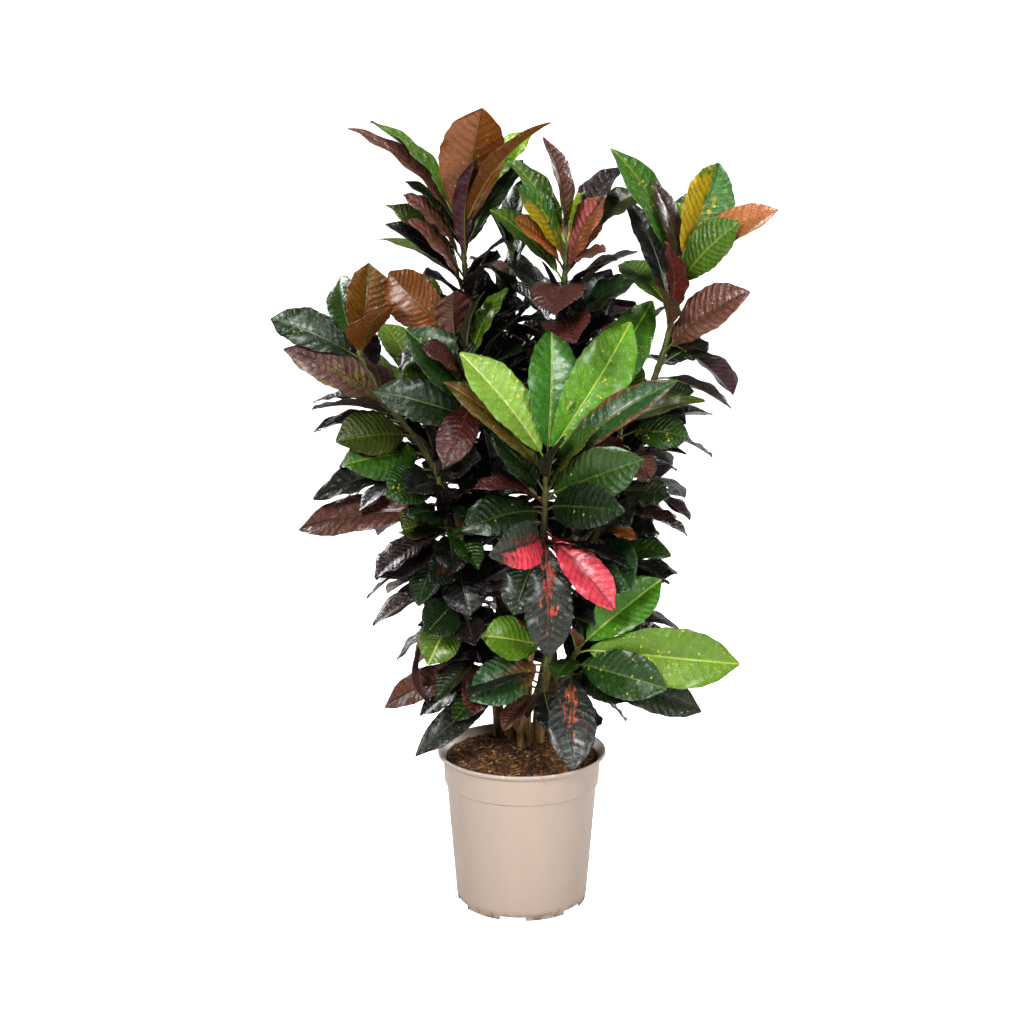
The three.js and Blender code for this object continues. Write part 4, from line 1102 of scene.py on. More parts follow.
def grain_of(tree, place, scale, stretch=1.0):
    return use_group(tree, "uneven grain", {"Place": place, "Scale": scale, "Stretch": stretch})


def make_grain_group():
    """Uneven tone and fine bumps, for plastic, bark, peat and stems."""
    inputs = {"Place": "Vector", "Scale": "Float", "Stretch": "Float"}
    tree, given, result = new_group("uneven grain", inputs, ("Tone", "Specks", "Height"))
    stretch = given["Stretch"].into("ShaderNodeCombineXYZ", {0: given["Stretch"], 1: 1.0, 2: 1.0})
    place, scale = given["Place"].vector("MULTIPLY", stretch), given["Scale"]
    coarse = place.noise(scale, 4.0)
    fine = place.noise(scale * 5.0, 3.0, 0.65)
    specks = place.noise(scale * 11.0, 1.0)
    join(tree, result, {"Tone": coarse.eased(0.3, 0.7), "Specks": specks.eased(0.62, 0.72),
                        "Height": coarse * 0.6 + fine * 0.4})


def make_leaf_group():
    """Where a leaf shows its second colour, its veins and its speckles, and its relief, and where painted
    shade darkens the hollows along its side veins.
    """
    inputs = {"Place": "Vector", "Flat": "Vector", "Amounts": "Vector", "Extras": "Vector"}
    outputs = ("Second", "Midrib", "Veins", "Speckles", "Height", "Tone", "Hollow")
    tree, given, result = new_group("leaf marks", inputs, outputs)
    flat = given["Flat"]
    u, v, veins = given["Place"].parts()
    _, y, _ = flat.parts()
    near_base, on_edge, in_blotches = given["Amounts"].parts()
    on_half, speckles, quilting = given["Extras"].parts()
    off = abs(v)
    cloud = flat.noise(70.0, 4.0, 0.6)
    stray = (cloud - 0.5) * 0.8

    # The second colour: near the base, along the edges, over one half, and in blotches.
    along = u + stray
    base_side = along.eased(0.42, 0.1) * near_base
    edge_side = (off + stray).eased(0.7, 1.0) * on_edge
    one_half = (v + stray).eased(0.0, 0.16) * on_half * along.eased(1.0, 0.72)
    flecks = flat.vector("MULTIPLY", (0.35, 1.0, 1.0)).noise(150.0, 4.0, 0.62)
    by_midrib = off.eased(0.9, 0.0, 0.0, 0.24) * u.eased(1.1, 0.2)
    patches = (flecks + by_midrib).eased(0.66, 0.74) * in_blotches

    # Veins: the midrib, the side veins and a fine net between them.
    to_vein = (veins + stray * 0.9).maths("PINGPONG", 0.5)
    side_veins = to_vein.eased(0.12, 0.01) * off.eased(0.98, 0.7)
    cell_sizes = {"Vector": flat, "Scale": 300.0}
    net = flat.into("ShaderNodeTexVoronoi", cell_sizes, feature="DISTANCE_TO_EDGE").eased(0.12, 0.02)
    midrib = abs(y).eased(0.0018, 0.0007)

    # Speckles: ragged dots in bunches, more of them towards the base and the midrib.
    ragged = flat.noise(600.0, 2.0, 0.5, "Color").vector("MULTIPLY_ADD", (0.006, 0.006, 0.0), flat)
    dots = wires_of(tree, node(tree, "ShaderNodeTexVoronoi", {"Vector": ragged, "Scale": 260.0}))
    drawn = dots["Color"].parts()
    bunches = flat.noise(34.0, 3.0, 0.6).eased(0.42, 0.68)
    wanted = speckles * (bunches * (u + off).eased(1.5, 0.1, 0.05, 0.6))
    chosen = drawn[0].maths("LESS_THAN", wanted)
    reach = drawn[1].maths("MULTIPLY_ADD", 0.34, 0.12)
    spots = (dots["Distance"] - reach).eased(0.08, -0.04) * chosen

    # Relief: swells between the side veins, hollows along them, and leathery skin; and painted shade that
    # darkens the colour in those hollows.
    swell = flat.noise(95.0, 3.0, 0.5)
    puff = (to_vein * 2.0).maths("POWER", 0.6) * swell.maths("MULTIPLY_ADD", 1.4, 0.1)
    height = (puff + swell) * quilting + flat.noise(420.0, 2.0) * 0.18 + net * -0.16 - midrib * 0.5
    # painted shade: how far the leaf's colour is darkened in the hollows along the side veins
    painted_hollow_shade = to_vein.eased(0.3, 0.02) * quilting * swell.maths("MULTIPLY_ADD", 1.2, 0.1)
    join(tree, result, {
        "Second": base_side.most(edge_side).most(one_half).most(patches), "Midrib": midrib,
        "Veins": side_veins.most(net * 0.3), "Speckles": spots, "Height": height,
        "Tone": cloud.eased(0.3, 0.72), "Hollow": painted_hollow_shade,
    })


def new_material(name):
    material = bpy.data.materials.new(name)
    material.use_nodes = True
    tree = material.node_tree
    return material, tree, tree.nodes["Principled BSDF"]


def bumps(height, depth):
    """The normal of a relief, whose depth is in metres."""
    return height.into("ShaderNodeBump", {"Height": height, "Distance": depth})


def leaf_material():
    material, tree, surface = new_material("waxy croton leaf")
    names = {"Place": "place", "Flat": "flat", "Amounts": "amounts", "Extras": "extras"}
    marks = use_group(tree, "leaf marks", {key: carried(tree, name) for key, name in names.items()})
    vein = carried(tree, "vein", "Color")
    colour = marks["Second"].mix(carried(tree, "ground", "Color"), carried(tree, "second", "Color"))
    colour = (marks["Tone"] * 0.55).shade(colour, (0.62, 0.62, 0.62))
    # painted shade: the colour darkened in the hollows along the side veins
    colour = (marks["Hollow"] * 0.5).shade(colour, (0.4, 0.42, 0.4))
    colour = (marks["Veins"] * 0.16).mix(colour, vein)
    colour = (marks["Midrib"] * 0.8).mix(colour, vein)
    join(tree, surface, {
        "Base Color": marks["Speckles"].mix(colour, SPECKLE_COLOUR),
        "Roughness": marks["Tone"].eased(0, 1, 0.25, 0.4), "Specular IOR Level": 0.45,
        "Coat Weight": 0.35, "Coat Roughness": 0.26, "Normal": bumps(marks["Height"], 0.0019),
    })
    return material


def stem_material():
    material, tree, surface = new_material("young stem")
    grain = grain_of(tree, carried(tree, "flat"), 160.0, 0.5)
    colour = grain["Tone"].mix(carried(tree, "ground", "Color"), carried(tree, "second", "Color"))
    join(tree, surface, {
        "Base Color": grain["Specks"].mix(colour, (*linear("a89a58"), 1)),
        "Roughness": grain["Tone"].eased(0, 1, 0.5, 0.75), "Normal": bumps(grain["Height"], 0.0008),
    })
    return material


def bark_material(finishes):
    material, tree, surface = new_material("fissured bark")
    place = carried(tree, "flat")
    grain, rings = grain_of(tree, place, 120.0, 0.16), grain_of(tree, place, 45.0, 2.2)
    pale = (*finishes.bark_pale, 1)
    colour = grain["Tone"].mix(carried(tree, "ground", "Color"), (*finishes.bark_dark, 1))
    colour = (rings["Tone"] * 0.35).mix(colour, pale)
    join(tree, surface, {
        "Base Color": (grain["Specks"] * 0.6).mix(colour, pale),
        "Roughness": grain["Tone"].eased(0, 1, 0.7, 0.9),
        "Normal": bumps(grain["Height"] + rings["Height"] * 0.4, 0.0025),
    })
    return material


def peat_material():
    material, tree, surface = new_material("damp peat")
    grain = grain_of(tree, carried(tree, "flat"), 220.0)
    join(tree, surface, {
        "Base Color": grain["Tone"].shade(carried(tree, "ground", "Color"), (0.35, 0.32, 0.3)),
        "Roughness": grain["Specks"].eased(0, 1, 0.88, 0.6), "Normal": bumps(grain["Height"], 0.003),
    })
    return material


def fibre_material():
    material, tree, surface = new_material("dry fibres")
    grain = grain_of(tree, carried(tree, "flat"), 500.0, 0.2)
    join(tree, surface, {
        "Base Color": grain["Tone"].shade(carried(tree, "ground", "Color"), (0.5, 0.42, 0.36)),
        "Roughness": grain["Tone"].eased(0, 1, 0.65, 0.85), "Normal": bumps(grain["Height"], 0.0006),
    })
    return material


def pot_material(finishes, height):
    """Satin moulded plastic, scuffed pale along the lip and smudged with peat at the foot."""
    material, tree, surface = new_material("satin pot plastic")
    place = Wire(tree, node(tree, "ShaderNodeTexCoord", {}).outputs["Object"])
    _, _, z = place.parts()
    grain, smear = grain_of(tree, place, 55.0), grain_of(tree, place, 16.0, 2.5)
    low = (z + (grain["Height"] - 0.5) * 0.02).eased(0.016, 0.003)
    smudges = low * grain["Tone"].eased(0.1, 0.9, 0.15, 0.9)
    rim = z.eased(height - 0.0028, height - 0.0004)
    dirt = (*finishes.pot_dirt, 1)
    colour = (smear["Tone"] * 0.25).mix((*finishes.pot, 1), (*finishes.pot_shade, 1))
    colour = smudges.mix(colour, dirt)
    colour = (rim * smear["Specks"].eased(0.0, 1.0, 0.25, 0.9)).mix(colour, (*finishes.pot_scuff, 1))
    join(tree, surface, {
        "Base Color": (grain["Specks"] * 0.07).mix(colour, dirt),
        "Roughness": grain["Tone"].eased(0, 1, 0.36, 0.44) + smudges * 0.35,
        "Specular IOR Level": 0.4, "Normal": bumps(grain["Height"], 0.00022),
    })
    return material


def seen_by_camera(tree):
    return Wire(tree, node(tree, "ShaderNodeLightPath", {}).outputs["Is Camera Ray"])


def floor_material(studio):
    material, tree, surface = new_material("studio floor")
    place = Wire(tree, node(tree, "ShaderNodeTexCoord", {}).outputs["Object"])
    join(tree, surface, {
        "Base Color": grain_of(tree, place, 2.0)["Tone"].shade((*studio.floor, 1), (0.985, 0.985, 0.985)),
        "Roughness": 0.8, "Specular IOR Level": 0.1, "Emission Color": (1, 1, 1, 1),
        "Emission Strength": seen_by_camera(tree) * studio.glow,
    })
    return material


# ------------------------------------------------------------------ sizes and finishes


def length(name, description, millimetres):
    return FloatProperty(name=name, description=description, default=millimetres * MM,
                         min=0.0, subtype="DISTANCE", unit="LENGTH")


def colour(name, description, code):
    return FloatVectorProperty(name=name, description=description, default=linear(code),
                               size=3, min=0.0, max=1.0, subtype="COLOR")


def angle(name, description, degrees):
    return FloatProperty(name=name, description=description, default=math.radians(degrees),
                         subtype="ANGLE", unit="ROTATION")


def power(name, description, watts):
    return FloatProperty(name=name, description=description, default=watts, min=0.0, unit="POWER")


def number(name, description, default):
    return FloatProperty(name=name, description=description, default=default, unit="NONE")


def count(name, description, default):
    return IntProperty(name=name, description=description, default=default, min=0)


class PotSizes(PropertyGroup):
    height: length("Height", "From the floor to the top of the lip", 222)
    rim_radius: length("Rim radius", "Outside of the thin lip", 120)
    band_radius: length("Band radius", "Outside of the thick band under the lip", 112)
    band_depth: length("Band depth", "From the rim down to the step under the band", 45)
    body_radius: length("Body radius", "Outside of the wall just under the step", 107)
    foot_radius: length("Foot radius", "Outside of the wall at its foot", 93.5)
    foot_height: length("Foot height", "Height of the foot ring", 7)
    wall: length("Wall", "Thickness of the wall", 2.2)
    notch_width: length("Notch width", "Width of the gaps in the foot ring", 38)
    drain_radius: length("Drain hole radius", "Radius of the holes in the floor", 6)
    drain_circle: length("Drain circle", "Radius of the circle that the holes stand on", 58)
    notches: count("Notches", "Gaps in the foot ring", 6)
    drain_holes: count("Drain holes", "Holes in the floor", 6)
    first_notch: angle("First notch", "Where round the pot the first gap is", -98)


class PlantSizes(PropertyGroup):
    thickness: length("Leaf thickness", "Thickness of a blade along its middle", 0.8)
    stalk_radius: length("Stalk radius", "Radius of a leaf's bare stalk", 1.5)
    quilting: length("Quilting", "How far the blade swells between its side veins", 2.1)
    edge_wave: length("Edge wave", "How far a blade's edge waves up and down", 2.0)
    fold: number("Fold", "Rise of a blade's halves over their width", 0.3)
    stations: count("Stations", "Sections along a blade", 56)
    bark_depth: length("Bark depth", "Depth of the fissures in a cane's bark", 0.9)


class PeatSizes(PropertyGroup):
    level: length("Level", "Height of the peat at the pot's wall", 210.5)
    mound: length("Mound", "How far the peat rises towards the canes", 6.5)
    roughness: length("Roughness", "Height of the lumps in the peat's top", 4.0)
    crumbs: count("Crumbs", "Loose lumps on the peat", 1500)
    fibres: count("Fibres", "Tan fibres in the peat", 900)
    chips: count("Chips", "Pale straw and wood chips", 420)


class Finishes(PropertyGroup):
    pot: colour("Pot", "Greige plastic", "a59589")
    pot_shade: colour("Pot shade", "Slightly darker clouds in the plastic", "998a7f")
    pot_scuff: colour("Pot scuff", "Pale rubbed lip", "e2dad4")
    pot_dirt: colour("Pot dirt", "Peat smudges", "6e543c")
    peat: colour("Peat", "Damp peat", "664428")
    fibre: colour("Fibre", "Dry fibres", "c4945a")
    straw: colour("Straw", "Pale chips", "dcbc8c")
    bark_dark: colour("Bark, dark", "Fissures in the bark", "3c2e1c")
    bark_pale: colour("Bark, pale", "Corky ridges and dust", "a4885c")


class Studio(PropertyGroup):
    floor: colour("Floor", "Pale studio floor", "f7f7f7")
    eye_distance: length("Eye distance", "From the camera to the pot's axis", 2300)
    eye_height: length("Eye height", "Height of the camera over the floor", 1020)
    lens: FloatProperty(name="Lens", description="Focal length of the camera", default=59.4,
                        subtype="DISTANCE_CAMERA", unit="CAMERA")
    look_down: angle("Look down", "Tilt of the camera below the horizon", 11.18)
    turn: angle("Turn", "Turn of the camera to the left", 0.346)
    key: power("Key", "Power of the large front light", 90.0)
    fill: power("Fill", "Power of the side light", 46.0)
    back: power("Back", "Power of each of the two lights behind", 32.0)
    top: power("Top", "Power of the light overhead", 40.0)
    sky: number("Sky", "Strength of the white surroundings", 0.06)
    glow: number("Glow", "Extra white of the floor as the camera sees it", 0.95)


# ------------------------------------------------------------------ pot


def rounded_outline(rows):
    """Radii and heights of an outline whose corners are rounded; rows: radius, height, fillet."""
    points = [rows[0][:2]]
    for before, corner, after in zip(rows, rows[1:], rows[2:]):
        here = np.array(corner[:2])
        back, ahead = np.array(before[:2]) - here, np.array(after[:2]) - here
        trim = min(corner[2], 0.45 * np.linalg.norm(back), 0.45 * np.linalg.norm(ahead))
        start, end = here + unit(back) * trim, here + unit(ahead) * trim
        for t in (0.0, 0.25, 0.5, 0.75, 1.0):
            points.append(tuple((1 - t) ** 2 * start + 2 * t * (1 - t) * here + t * t * end))
    points.append(rows[-1][:2])
    return np.array(points)


def pot_outline(sizes):
    """Radius, height and fillet of each corner, from the underside out, up and down inside."""
    s = sizes
    lip = s.height - 5 * MM
    foot = s.foot_radius - 1.2 * MM
    step = s.height - s.band_depth
    floor_top = top_of_floor(s)
    return [
        (4 * MM, s.foot_height, 0), (foot - s.wall, s.foot_height, 0.4 * MM),
        (foot - s.wall, 0, 0.5 * MM), (foot, 0, 0.6 * MM), (foot, s.foot_height, 0.4 * MM),
        (s.foot_radius, s.foot_height + 0.6 * MM, 1 * MM),
        (s.body_radius, step - MM, 1.2 * MM), (s.band_radius - 2 * MM, step, 0.5 * MM),
        (s.band_radius, lip - 3 * MM, 2 * MM), (s.rim_radius - MM, lip, 1 * MM),
        (s.rim_radius, lip + 1.5 * MM, 1 * MM), (s.rim_radius - 0.6 * MM, s.height, 1 * MM),
        (s.rim_radius - 3.6 * MM, s.height, 1 * MM),
        (inner_radius(s, lip - 6 * MM), lip - 6 * MM, 1.6 * MM),
        (s.foot_radius - 2 * s.wall, floor_top, 3 * MM), (4 * MM, floor_top, 0),
    ]


def top_of_floor(sizes):
    return sizes.foot_height + 2.5 * MM


def inner_radius(sizes, z):
    """Inside radius of the pot's wall at a height."""
    low, high = top_of_floor(sizes), sizes.height - sizes.band_depth
    at_foot, at_step = sizes.foot_radius - 2 * sizes.wall, sizes.body_radius - sizes.wall
    return at_foot + (z - low) / (high - low) * (at_step - at_foot)


NOTCH_HEIGHT = 5.5 * MM


def notch_angles(sizes):
    half = math.asin(sizes.notch_width / 2 / sizes.foot_radius)
    return [(sizes.first_notch + math.tau * i / sizes.notches, half) for i in range(sizes.notches)]


def make_pot(sizes, finishes):
    """One shell of rings round the axis, with the gaps of its foot ring lifted off the floor."""
    angles = set(np.linspace(0, math.tau, 180, endpoint=False).round(5))
    gaps = notch_angles(sizes)
    for middle, half in gaps:
        for edge in (-half - 0.002, -half + 0.002, half - 0.002, half + 0.002):
            angles.add(round((middle + edge) % math.tau, 5))
    angles = np.array(sorted(angles))
    outline = rounded_outline(pot_outline(sizes))
    radius, height = outline[:, 0:1], np.broadcast_to(outline[:, 1:2], (len(outline), len(angles)))
    in_gap = np.zeros(len(angles), bool)
    for middle, half in gaps:
        in_gap |= np.abs((angles - middle + math.pi) % math.tau - math.pi) < half
    height = np.where((height < NOTCH_HEIGHT) & in_gap, NOTCH_HEIGHT, height)
    grid = np.stack((radius * np.cos(angles), radius * np.sin(angles), height), -1)
    shell = Patchwork({})
    shell.add(grid, {})
    pot = shell.build("nursery_pot", pot_material(finishes, sizes.height))
    pot.data.uv_layers.remove(pot.data.uv_layers["OFBake"])
    cut_drain_holes(pot, sizes)
    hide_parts("pot")


def cut_drain_holes(pot, sizes):
    cutter = Patchwork({})
    for i in range(sizes.drain_holes):
        angle = math.tau * i / sizes.drain_holes
        x, y = sizes.drain_circle * math.cos(angle), sizes.drain_circle * math.sin(angle)
        cutter.add(tube([(x, y, 2 * MM), (x, y, 16 * MM)], sizes.drain_radius, 32), {})
    drills = cutter.build("drain_drills")
    cut = pot.modifiers.new("drain holes", "BOOLEAN")
    cut.operation, cut.solver, cut.object = "DIFFERENCE", "EXACT", drills
    evaluated = pot.evaluated_get(bpy.context.evaluated_depsgraph_get())
    mesh = bpy.data.meshes.new_from_object(evaluated)
    pot.modifiers.clear()
    old, pot.data = pot.data, mesh
    bpy.data.meshes.remove(old)
    bpy.data.objects.remove(drills)
    mesh.name = "nursery_pot"


# ------------------------------------------------------------------ peat

PEAT_VALUES = {"ground": 4, "flat": 3}


class PeatTop:
    """The top of the peat in its pot, and what lies loose on it."""

    def __init__(self, pot, peat, finishes):
        self.peat, self.finishes = peat, finishes
        self.wall = inner_radius(pot, peat.level) - 0.3 * MM
        self.draw = draws_from(4021)

    def height(self, x, y):
        """Height of the peat's top, lumps included."""
        place = Vector((x * 60, y * 60, 3.7))
        lumps = 0.55 * noise.noise(place) + 0.3 * noise.noise(place * 2.3)
        lumps += 0.22 * noise.noise(place * 5.1)
        share = min(1.0, math.hypot(x, y) / self.wall)
        settled = 1 - 0.75 * max(0.0, (share - 0.93) / 0.07)
        peat = self.peat
        return peat.level + peat.mound * (1 - share * share) + peat.roughness * lumps * settled

    def spot(self, inset):
        """A drawn point of the top, that far at least from the wall."""
        radius = (self.wall - inset) * math.sqrt(self.draw())
        angle = math.tau * self.draw()
        x, y = radius * math.cos(angle), radius * math.sin(angle)
        return np.array((x, y, self.height(x, y)))

    def toned(self, colour, least, more, power=1):
        tone = least + more * self.draw() ** power
        return np.array((*(tone * value for value in colour), 1.0))

    def add_crumb(self, bed):
        """A loose lump, an uneven ball half sunk in the peat."""
        draw = self.draw
        size = (0.9 + 3.4 * draw() ** 2.2) * MM
        centre = self.spot(3 * MM)
        own = Vector((draw() * 40, 0, 0))
        tilt = math.tau * draw()
        across, up = math.cos(tilt), math.sin(tilt)
        rows = []
        for share in np.linspace(0.04, 0.96, 6):
            out, along = math.sin(math.pi * share), math.cos(math.pi * share) * 1.3
            row = []
            for k in range(8):
                angle = math.tau * k / 8
                way = Vector((out * math.cos(angle), out * math.sin(angle) * 0.8, along))
                p = way * (1 + 0.45 * noise.noise(way * 1.6 + own)) * size
                row.append((p.x * across - p.z * up, p.y, p.x * up + p.z * across))
            rows.append(row)
        ground = self.toned(self.finishes.peat, 0.5, 1.3, 2)
        grid = np.array(rows) + centre
        bed.add(grid, {"ground": ground, "flat": grid})

    def add_fibre(self, litter):
        """A thin bent fibre that lies on the peat or stands a little out of it."""
        draw = self.draw
        x, y = self.spot(8 * MM)[:2]
        heading = math.tau * draw()
        size = (5 + 16 * draw() ** 2) * MM
        bend = 2.4 * (draw() - 0.5)
        rise = 2.2 * draw() ** 3 * MM
        path = []
        for i in range(6):
            t = i / 5
            if math.hypot(x, y) > self.wall - 2 * MM:
                break
            path.append((x, y, self.height(x, y) + 0.4 * MM + rise * math.sin(math.pi * t)))
            x += math.cos(heading + bend * t) * size / 5
            y += math.sin(heading + bend * t) * size / 5
        if len(path) >= 3:
            ground = self.toned(self.finishes.fibre, 0.45, 0.8)
            self.add_strand(litter, path, (0.18 + 0.3 * draw() ** 2) * MM, ground)

    def add_chip(self, litter):
        """A flat pale chip of straw or wood."""
        draw = self.draw
        centre = self.spot(6 * MM) + np.array((0, 0, 0.6 * MM))
        heading = math.tau * draw()
        long_side, thick = (2.5 + 5 * draw() ** 2) * MM, (0.5 + 0.7 * draw()) * MM
        way = np.array((math.cos(heading), math.sin(heading), 0.5 * (draw() - 0.3)))
        base = self.finishes.straw if draw() < 0.35 else self.finishes.fibre
        path = [centre + way * long_side * t for t in (-0.5, 0, 0.5)]
        self.add_strand(litter, path, thick, self.toned(base, 0.5, 0.6))

    def add_strand(self, litter, path, thick, ground):
        own = (0.01 * self.draw(), 0, 9 * self.draw())
        litter.add(tube(path, thick, 5), {"ground": ground, "flat": own})


def make_peat(pot, peat, finishes):
    """The bed with its crumbs, and the fibres and chips on it."""
    top = PeatTop(pot, peat, finishes)
    angles = np.linspace(0, math.tau, 200, endpoint=False)
    rows = []
    for z in np.linspace(top_of_floor(pot) + 0.4 * MM, peat.level - 3 * MM, 6):
        ring = inner_radius(pot, z) - 0.5 * MM
        rows.append([(ring * math.cos(a), ring * math.sin(a), z) for a in angles])
    for radius in top.wall * (1 - np.linspace(0, 0.995, 64) ** 1.15):
        spots = [(radius * math.cos(a), radius * math.sin(a)) for a in angles]
        rows.append([(x, y, top.height(x, y)) for x, y in spots])
    grid = np.array(rows)
    bed, litter = Patchwork(PEAT_VALUES), Patchwork(PEAT_VALUES)
    bed.add(grid, {"ground": (*finishes.peat, 1.0), "flat": grid})
    for number, add, where in ((peat.crumbs, top.add_crumb, bed), (peat.fibres, top.add_fibre, litter),
                               (peat.chips, top.add_chip, litter)):
        for _ in range(number):
            add(where)
    add_rim_fibre(litter, pot, finishes)
    piece = bed.build("peat_bed", peat_material())
    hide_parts("soil")
    piece = litter.build("peat_fibres", fibre_material())


def add_rim_fibre(litter, pot, finishes):
    """The one fibre that hangs over the front of the lip: x, then how far inside and above it."""
    rows = ((20, 13, -6), (23, 6, 0.6), (26, 2, 0.8), (28, 2, -2), (30, 1.8, -7), (34, 4.5, -13))
    path = [(x * MM, inside * MM - pot.rim_radius, above * MM + pot.height)
            for x, inside, above in rows]
    litter.add(tube(path, 0.4 * MM, 5), {"ground": (*finishes.fibre, 1.0), "flat": (0.01, 0, 3.3)})


# ------------------------------------------------------------------ canes

# Bark colours with painted light: the front canes are painted far paler than their own tan bark, so that
# they look lit where the leaves shade them. The back ones keep about the bark's own tan.
CANE_COLOURS_WITH_PAINTED_LIGHT = {"cane_1": "e6ba7c", "cane_2": "d0b26c", "cane_3": "b8a260", "cane_4": "8c7648",
                "cane_5": "887248"}


def make_cane(name, curve, plant, bark):
    """A woody cane with fissured bark, leaf scars in rings and a knot or two."""
    low, high = CANES[name][1]
    rows, columns = int(curve.length / 1.6), 48
    share = np.linspace(0, 1, rows)
    radius = low + (high - low) * share
    draw = draws_from(100 + ord(name[-1]))
    at = 0.0
    while at < 1:
        at += (9 + 9 * draw()) / curve.length
        radius = radius + 0.35 * np.exp(-((share - at) * curve.length / 1.3) ** 2)
    knots = [(0.25 + 0.6 * draw(), math.tau * draw(), 1.5 + 2 * draw()) for _ in range(5)]
    if name == "cane_1":
        knots.append((0.31, 0.4, 3.2))
    grid = tube([curve.at(s) for s in share], radius, columns)
    centres = grid.mean(axis=1, keepdims=True)
    spokes = (grid - centres) / np.linalg.norm(grid - centres, axis=2, keepdims=True)
    depth = plant.bark_depth / MM
    turns = np.linspace(0, math.tau, columns, endpoint=False)
    for r, along in enumerate(share * curve.length):
        near = [(size * math.exp(-((along / curve.length - where) * curve.length / 6) ** 2), side)
                for where, side, size in knots]
        for c, angle in enumerate(turns):
            place = Vector((math.cos(angle) * 2.4, math.sin(angle) * 2.4, along * 0.03 + 9 * low))
            swell = noise.noise(place) + 0.8 * noise.noise(place * 2.7) + 0.5 * noise.noise(place * 6.3)
            swell *= depth
            for size, side in near:
                off = (angle - side + math.pi) % math.tau - math.pi
                swell += size * math.exp(-(off / 0.5) ** 2)
            grid[r, c] += spokes[r, c] * swell
    flat = unrolled(share * curve.length * MM, np.linspace(0, math.tau * low * MM, columns), low)
    patch = Patchwork(PEAT_VALUES)
    # painted light: the bark's colour lightened, most on the front canes
    ground = (*linear(CANE_COLOURS_WITH_PAINTED_LIGHT[name]), 1.0)
    patch.add(grid * MM, {"ground": ground, "flat": flat})
    piece = patch.build("bark_" + name, bark)
    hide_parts(name)


# ------------------------------------------------------------------ shoots


def tint_by_rule(leaf, draw):
    tints = HIGH_TINTS if leaf.tip[2] > HIGH else LOW_TINTS
    return tints[int(draw() * len(tints))]


def make_shoot(name, curve, leaves, plant, seed, waxy, young):
    """A shoot's leaves, and its stem in the finish of a young one."""
    draw = draws_from(seed)
    foliage = Patchwork(LEAF_VALUES)
    for leaf in leaves:
        add_leaf(foliage, leaf, leaf.tint or tint_by_rule(leaf, draw), draw, plant)
    leafy = foliage.build("leaves_" + name, waxy)
    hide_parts(name)
    twig = Patchwork(LEAF_VALUES)
    add_stem(twig, curve, leaves, draw)
    stem = twig.build("stem_" + name, young)


# ------------------------------------------------------------------ studio


def make_floor(studio):
    """A pale floor that curves up into a backdrop."""
    rows = [(-9.0, 0.0)]
    bend = np.linspace(0, math.pi / 2, 24)
    rows += [(4.0 + 2.0 * math.sin(a), 2.0 - 2.0 * math.cos(a)) for a in bend]
    rows.append((6.0, 9.0))
    grid = np.array([[(x, y, z) for x in np.linspace(-9, 9, 3)] for y, z in rows])
    mesh = bpy.data.meshes.new("studio_floor")
    corners = [3 * r + c for r in range(len(rows) - 1) for c in range(2)]
    faces = [(k, k + 1, k + 4, k + 3) for k in corners]
    mesh.from_pydata(grid.reshape(-1, 3).tolist(), [], faces)
    mesh.polygons.foreach_set("use_smooth", np.ones(len(faces), bool))
    mesh.materials.append(floor_material(studio))
    floor = bpy.data.objects.new(mesh.name, mesh)
    bpy.context.scene.collection.objects.link(floor)


PLANT_MIDDLE = Vector((0, 0, 0.6))


def make_light(name, power, size, place):
    """A round soft light that faces the plant."""
    light = bpy.data.lights.new(name, "AREA")
    light.shape, light.size, light.energy = "DISK", size, power
    lamp = bpy.data.objects.new(name, light)
    lamp.location = place
    lamp.rotation_euler = (PLANT_MIDDLE - Vector(place)).to_track_quat("-Z", "Y").to_euler()
    bpy.context.scene.collection.objects.link(lamp)


def make_camera(studio):
    camera = bpy.data.cameras.new("photo_camera")
    camera.sensor_width, camera.lens = 36.0, studio.lens
    eye = bpy.data.objects.new("photo_camera", camera)
    eye.location = (0, -studio.eye_distance, studio.eye_height)
    eye.rotation_euler = (math.pi / 2 - studio.look_down, 0, studio.turn)
    bpy.context.scene.collection.objects.link(eye)
    bpy.context.scene.camera = eye


def make_world(studio):
    world = bpy.data.worlds.new("white studio")
    world.use_nodes = True
    tree = world.node_tree
    strength = seen_by_camera(tree).maths("MULTIPLY_ADD", 1 - studio.sky, studio.sky)
    join(tree, tree.nodes["Background"], {"Color": (1, 1, 1, 1), "Strength": strength})
    bpy.context.scene.world = world
    bpy.context.scene.view_settings.view_transform = "Standard"
    bpy.context.scene.view_settings.look = "Medium High Contrast"


# ------------------------------------------------------------------ operators and panel


class CROTON_OT_pot(Operator):
    """Adds the nursery pot"""
    bl_idname = "croton.pot"
    bl_label = "Pot"

    def execute(self, context):
        make_pot(context.scene.croton_pot, context.scene.croton_finishes)
        return {"FINISHED"}


class CROTON_OT_peat(Operator):
    """Fills the pot with peat, with crumbs, fibres and chips on top"""
    bl_idname = "croton.peat"
    bl_label = "Peat"

    def execute(self, context):
        scene = context.scene
        make_peat(scene.croton_pot, scene.croton_peat, scene.croton_finishes)
        return {"FINISHED"}


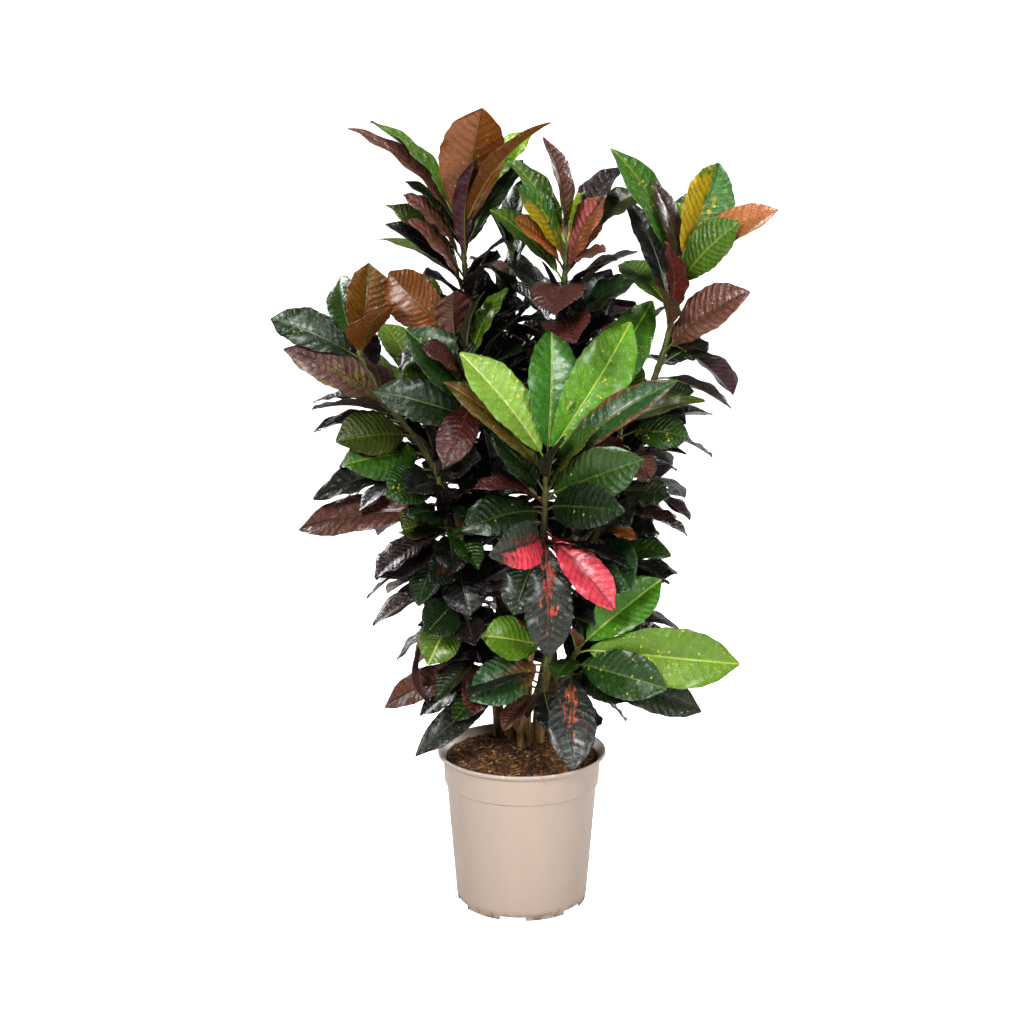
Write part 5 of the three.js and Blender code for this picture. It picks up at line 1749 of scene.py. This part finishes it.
class CROTON_OT_plant(Operator):
    """Adds the woody canes and the leafy shoots on them"""
    bl_idname = "croton.plant"
    bl_label = "Canes and shoots"

    def execute(self, context):
        plant = context.scene.croton_plant
        bark, waxy, young = bark_material(context.scene.croton_finishes), leaf_material(), stem_material()
        cane_curves, shoot_curves, placed = lay_out_plant()
        for name, curve in cane_curves.items():
            make_cane(name, curve, plant, bark)
        for number, (name, curve) in enumerate(shoot_curves.items()):
            leaves = [entry["leaf"] for entry in placed if entry["shoot"] == name]
            make_shoot(name, curve, leaves, plant, 501 + 13 * number, waxy, young)
        return {"FINISHED"}


class CROTON_OT_stage(Operator):
    """Adds the pale floor, the soft lights and the camera"""
    bl_idname = "croton.stage"
    bl_label = "Studio"

    def execute(self, context):
        studio = context.scene.croton_studio
        make_floor(studio)
        make_world(studio)
        make_light("key", studio.key, 0.8, (-1.1, -2.6, 2.2))
        make_light("fill", studio.fill, 0.8, (1.5, -2.4, 1.7))
        make_light("top", studio.top, 0.8, (0.2, -0.2, 3.0))
        make_light("back left", studio.back, 0.9, (-1.9, 2.2, 1.5))
        make_light("back right", studio.back, 0.9, (2.1, 2.0, 1.3))
        make_camera(studio)
        return {"FINISHED"}


class CROTON_PT_parts(Panel):
    """Lists the parts of the potted croton"""
    bl_label = "Potted croton"
    bl_idname = "CROTON_PT_parts"
    bl_space_type = "VIEW_3D"
    bl_region_type = "UI"
    bl_category = "Croton"

    def draw(self, context):
        for operator in OPERATORS:
            self.layout.operator(operator.bl_idname)
        for name, group in GROUPS.items():
            box = self.layout.box()
            box.label(text=group.__name__)
            for key in group.__annotations__:
                box.prop(getattr(context.scene, name), key)


OPERATORS = (CROTON_OT_pot, CROTON_OT_peat, CROTON_OT_plant, CROTON_OT_stage)
GROUPS = {
    "croton_pot": PotSizes,
    "croton_plant": PlantSizes,
    "croton_peat": PeatSizes,
    "croton_finishes": Finishes,
    "croton_studio": Studio,
}


def register():
    for kind in (*GROUPS.values(), *OPERATORS, CROTON_PT_parts):
        bpy.utils.register_class(kind)
    for name, group in GROUPS.items():
        setattr(bpy.types.Scene, name, PointerProperty(type=group))


def unregister():
    for name in GROUPS:
        delattr(bpy.types.Scene, name)
    for kind in (CROTON_PT_parts, *reversed(OPERATORS), *reversed(GROUPS.values())):
        bpy.utils.unregister_class(kind)


def main():
    register()
    make_grain_group()
    make_leaf_group()
    bpy.ops.croton.pot()
    bpy.ops.croton.peat()
    bpy.ops.croton.plant()
    bpy.ops.croton.stage()


if __name__ == "__main__":
    main()
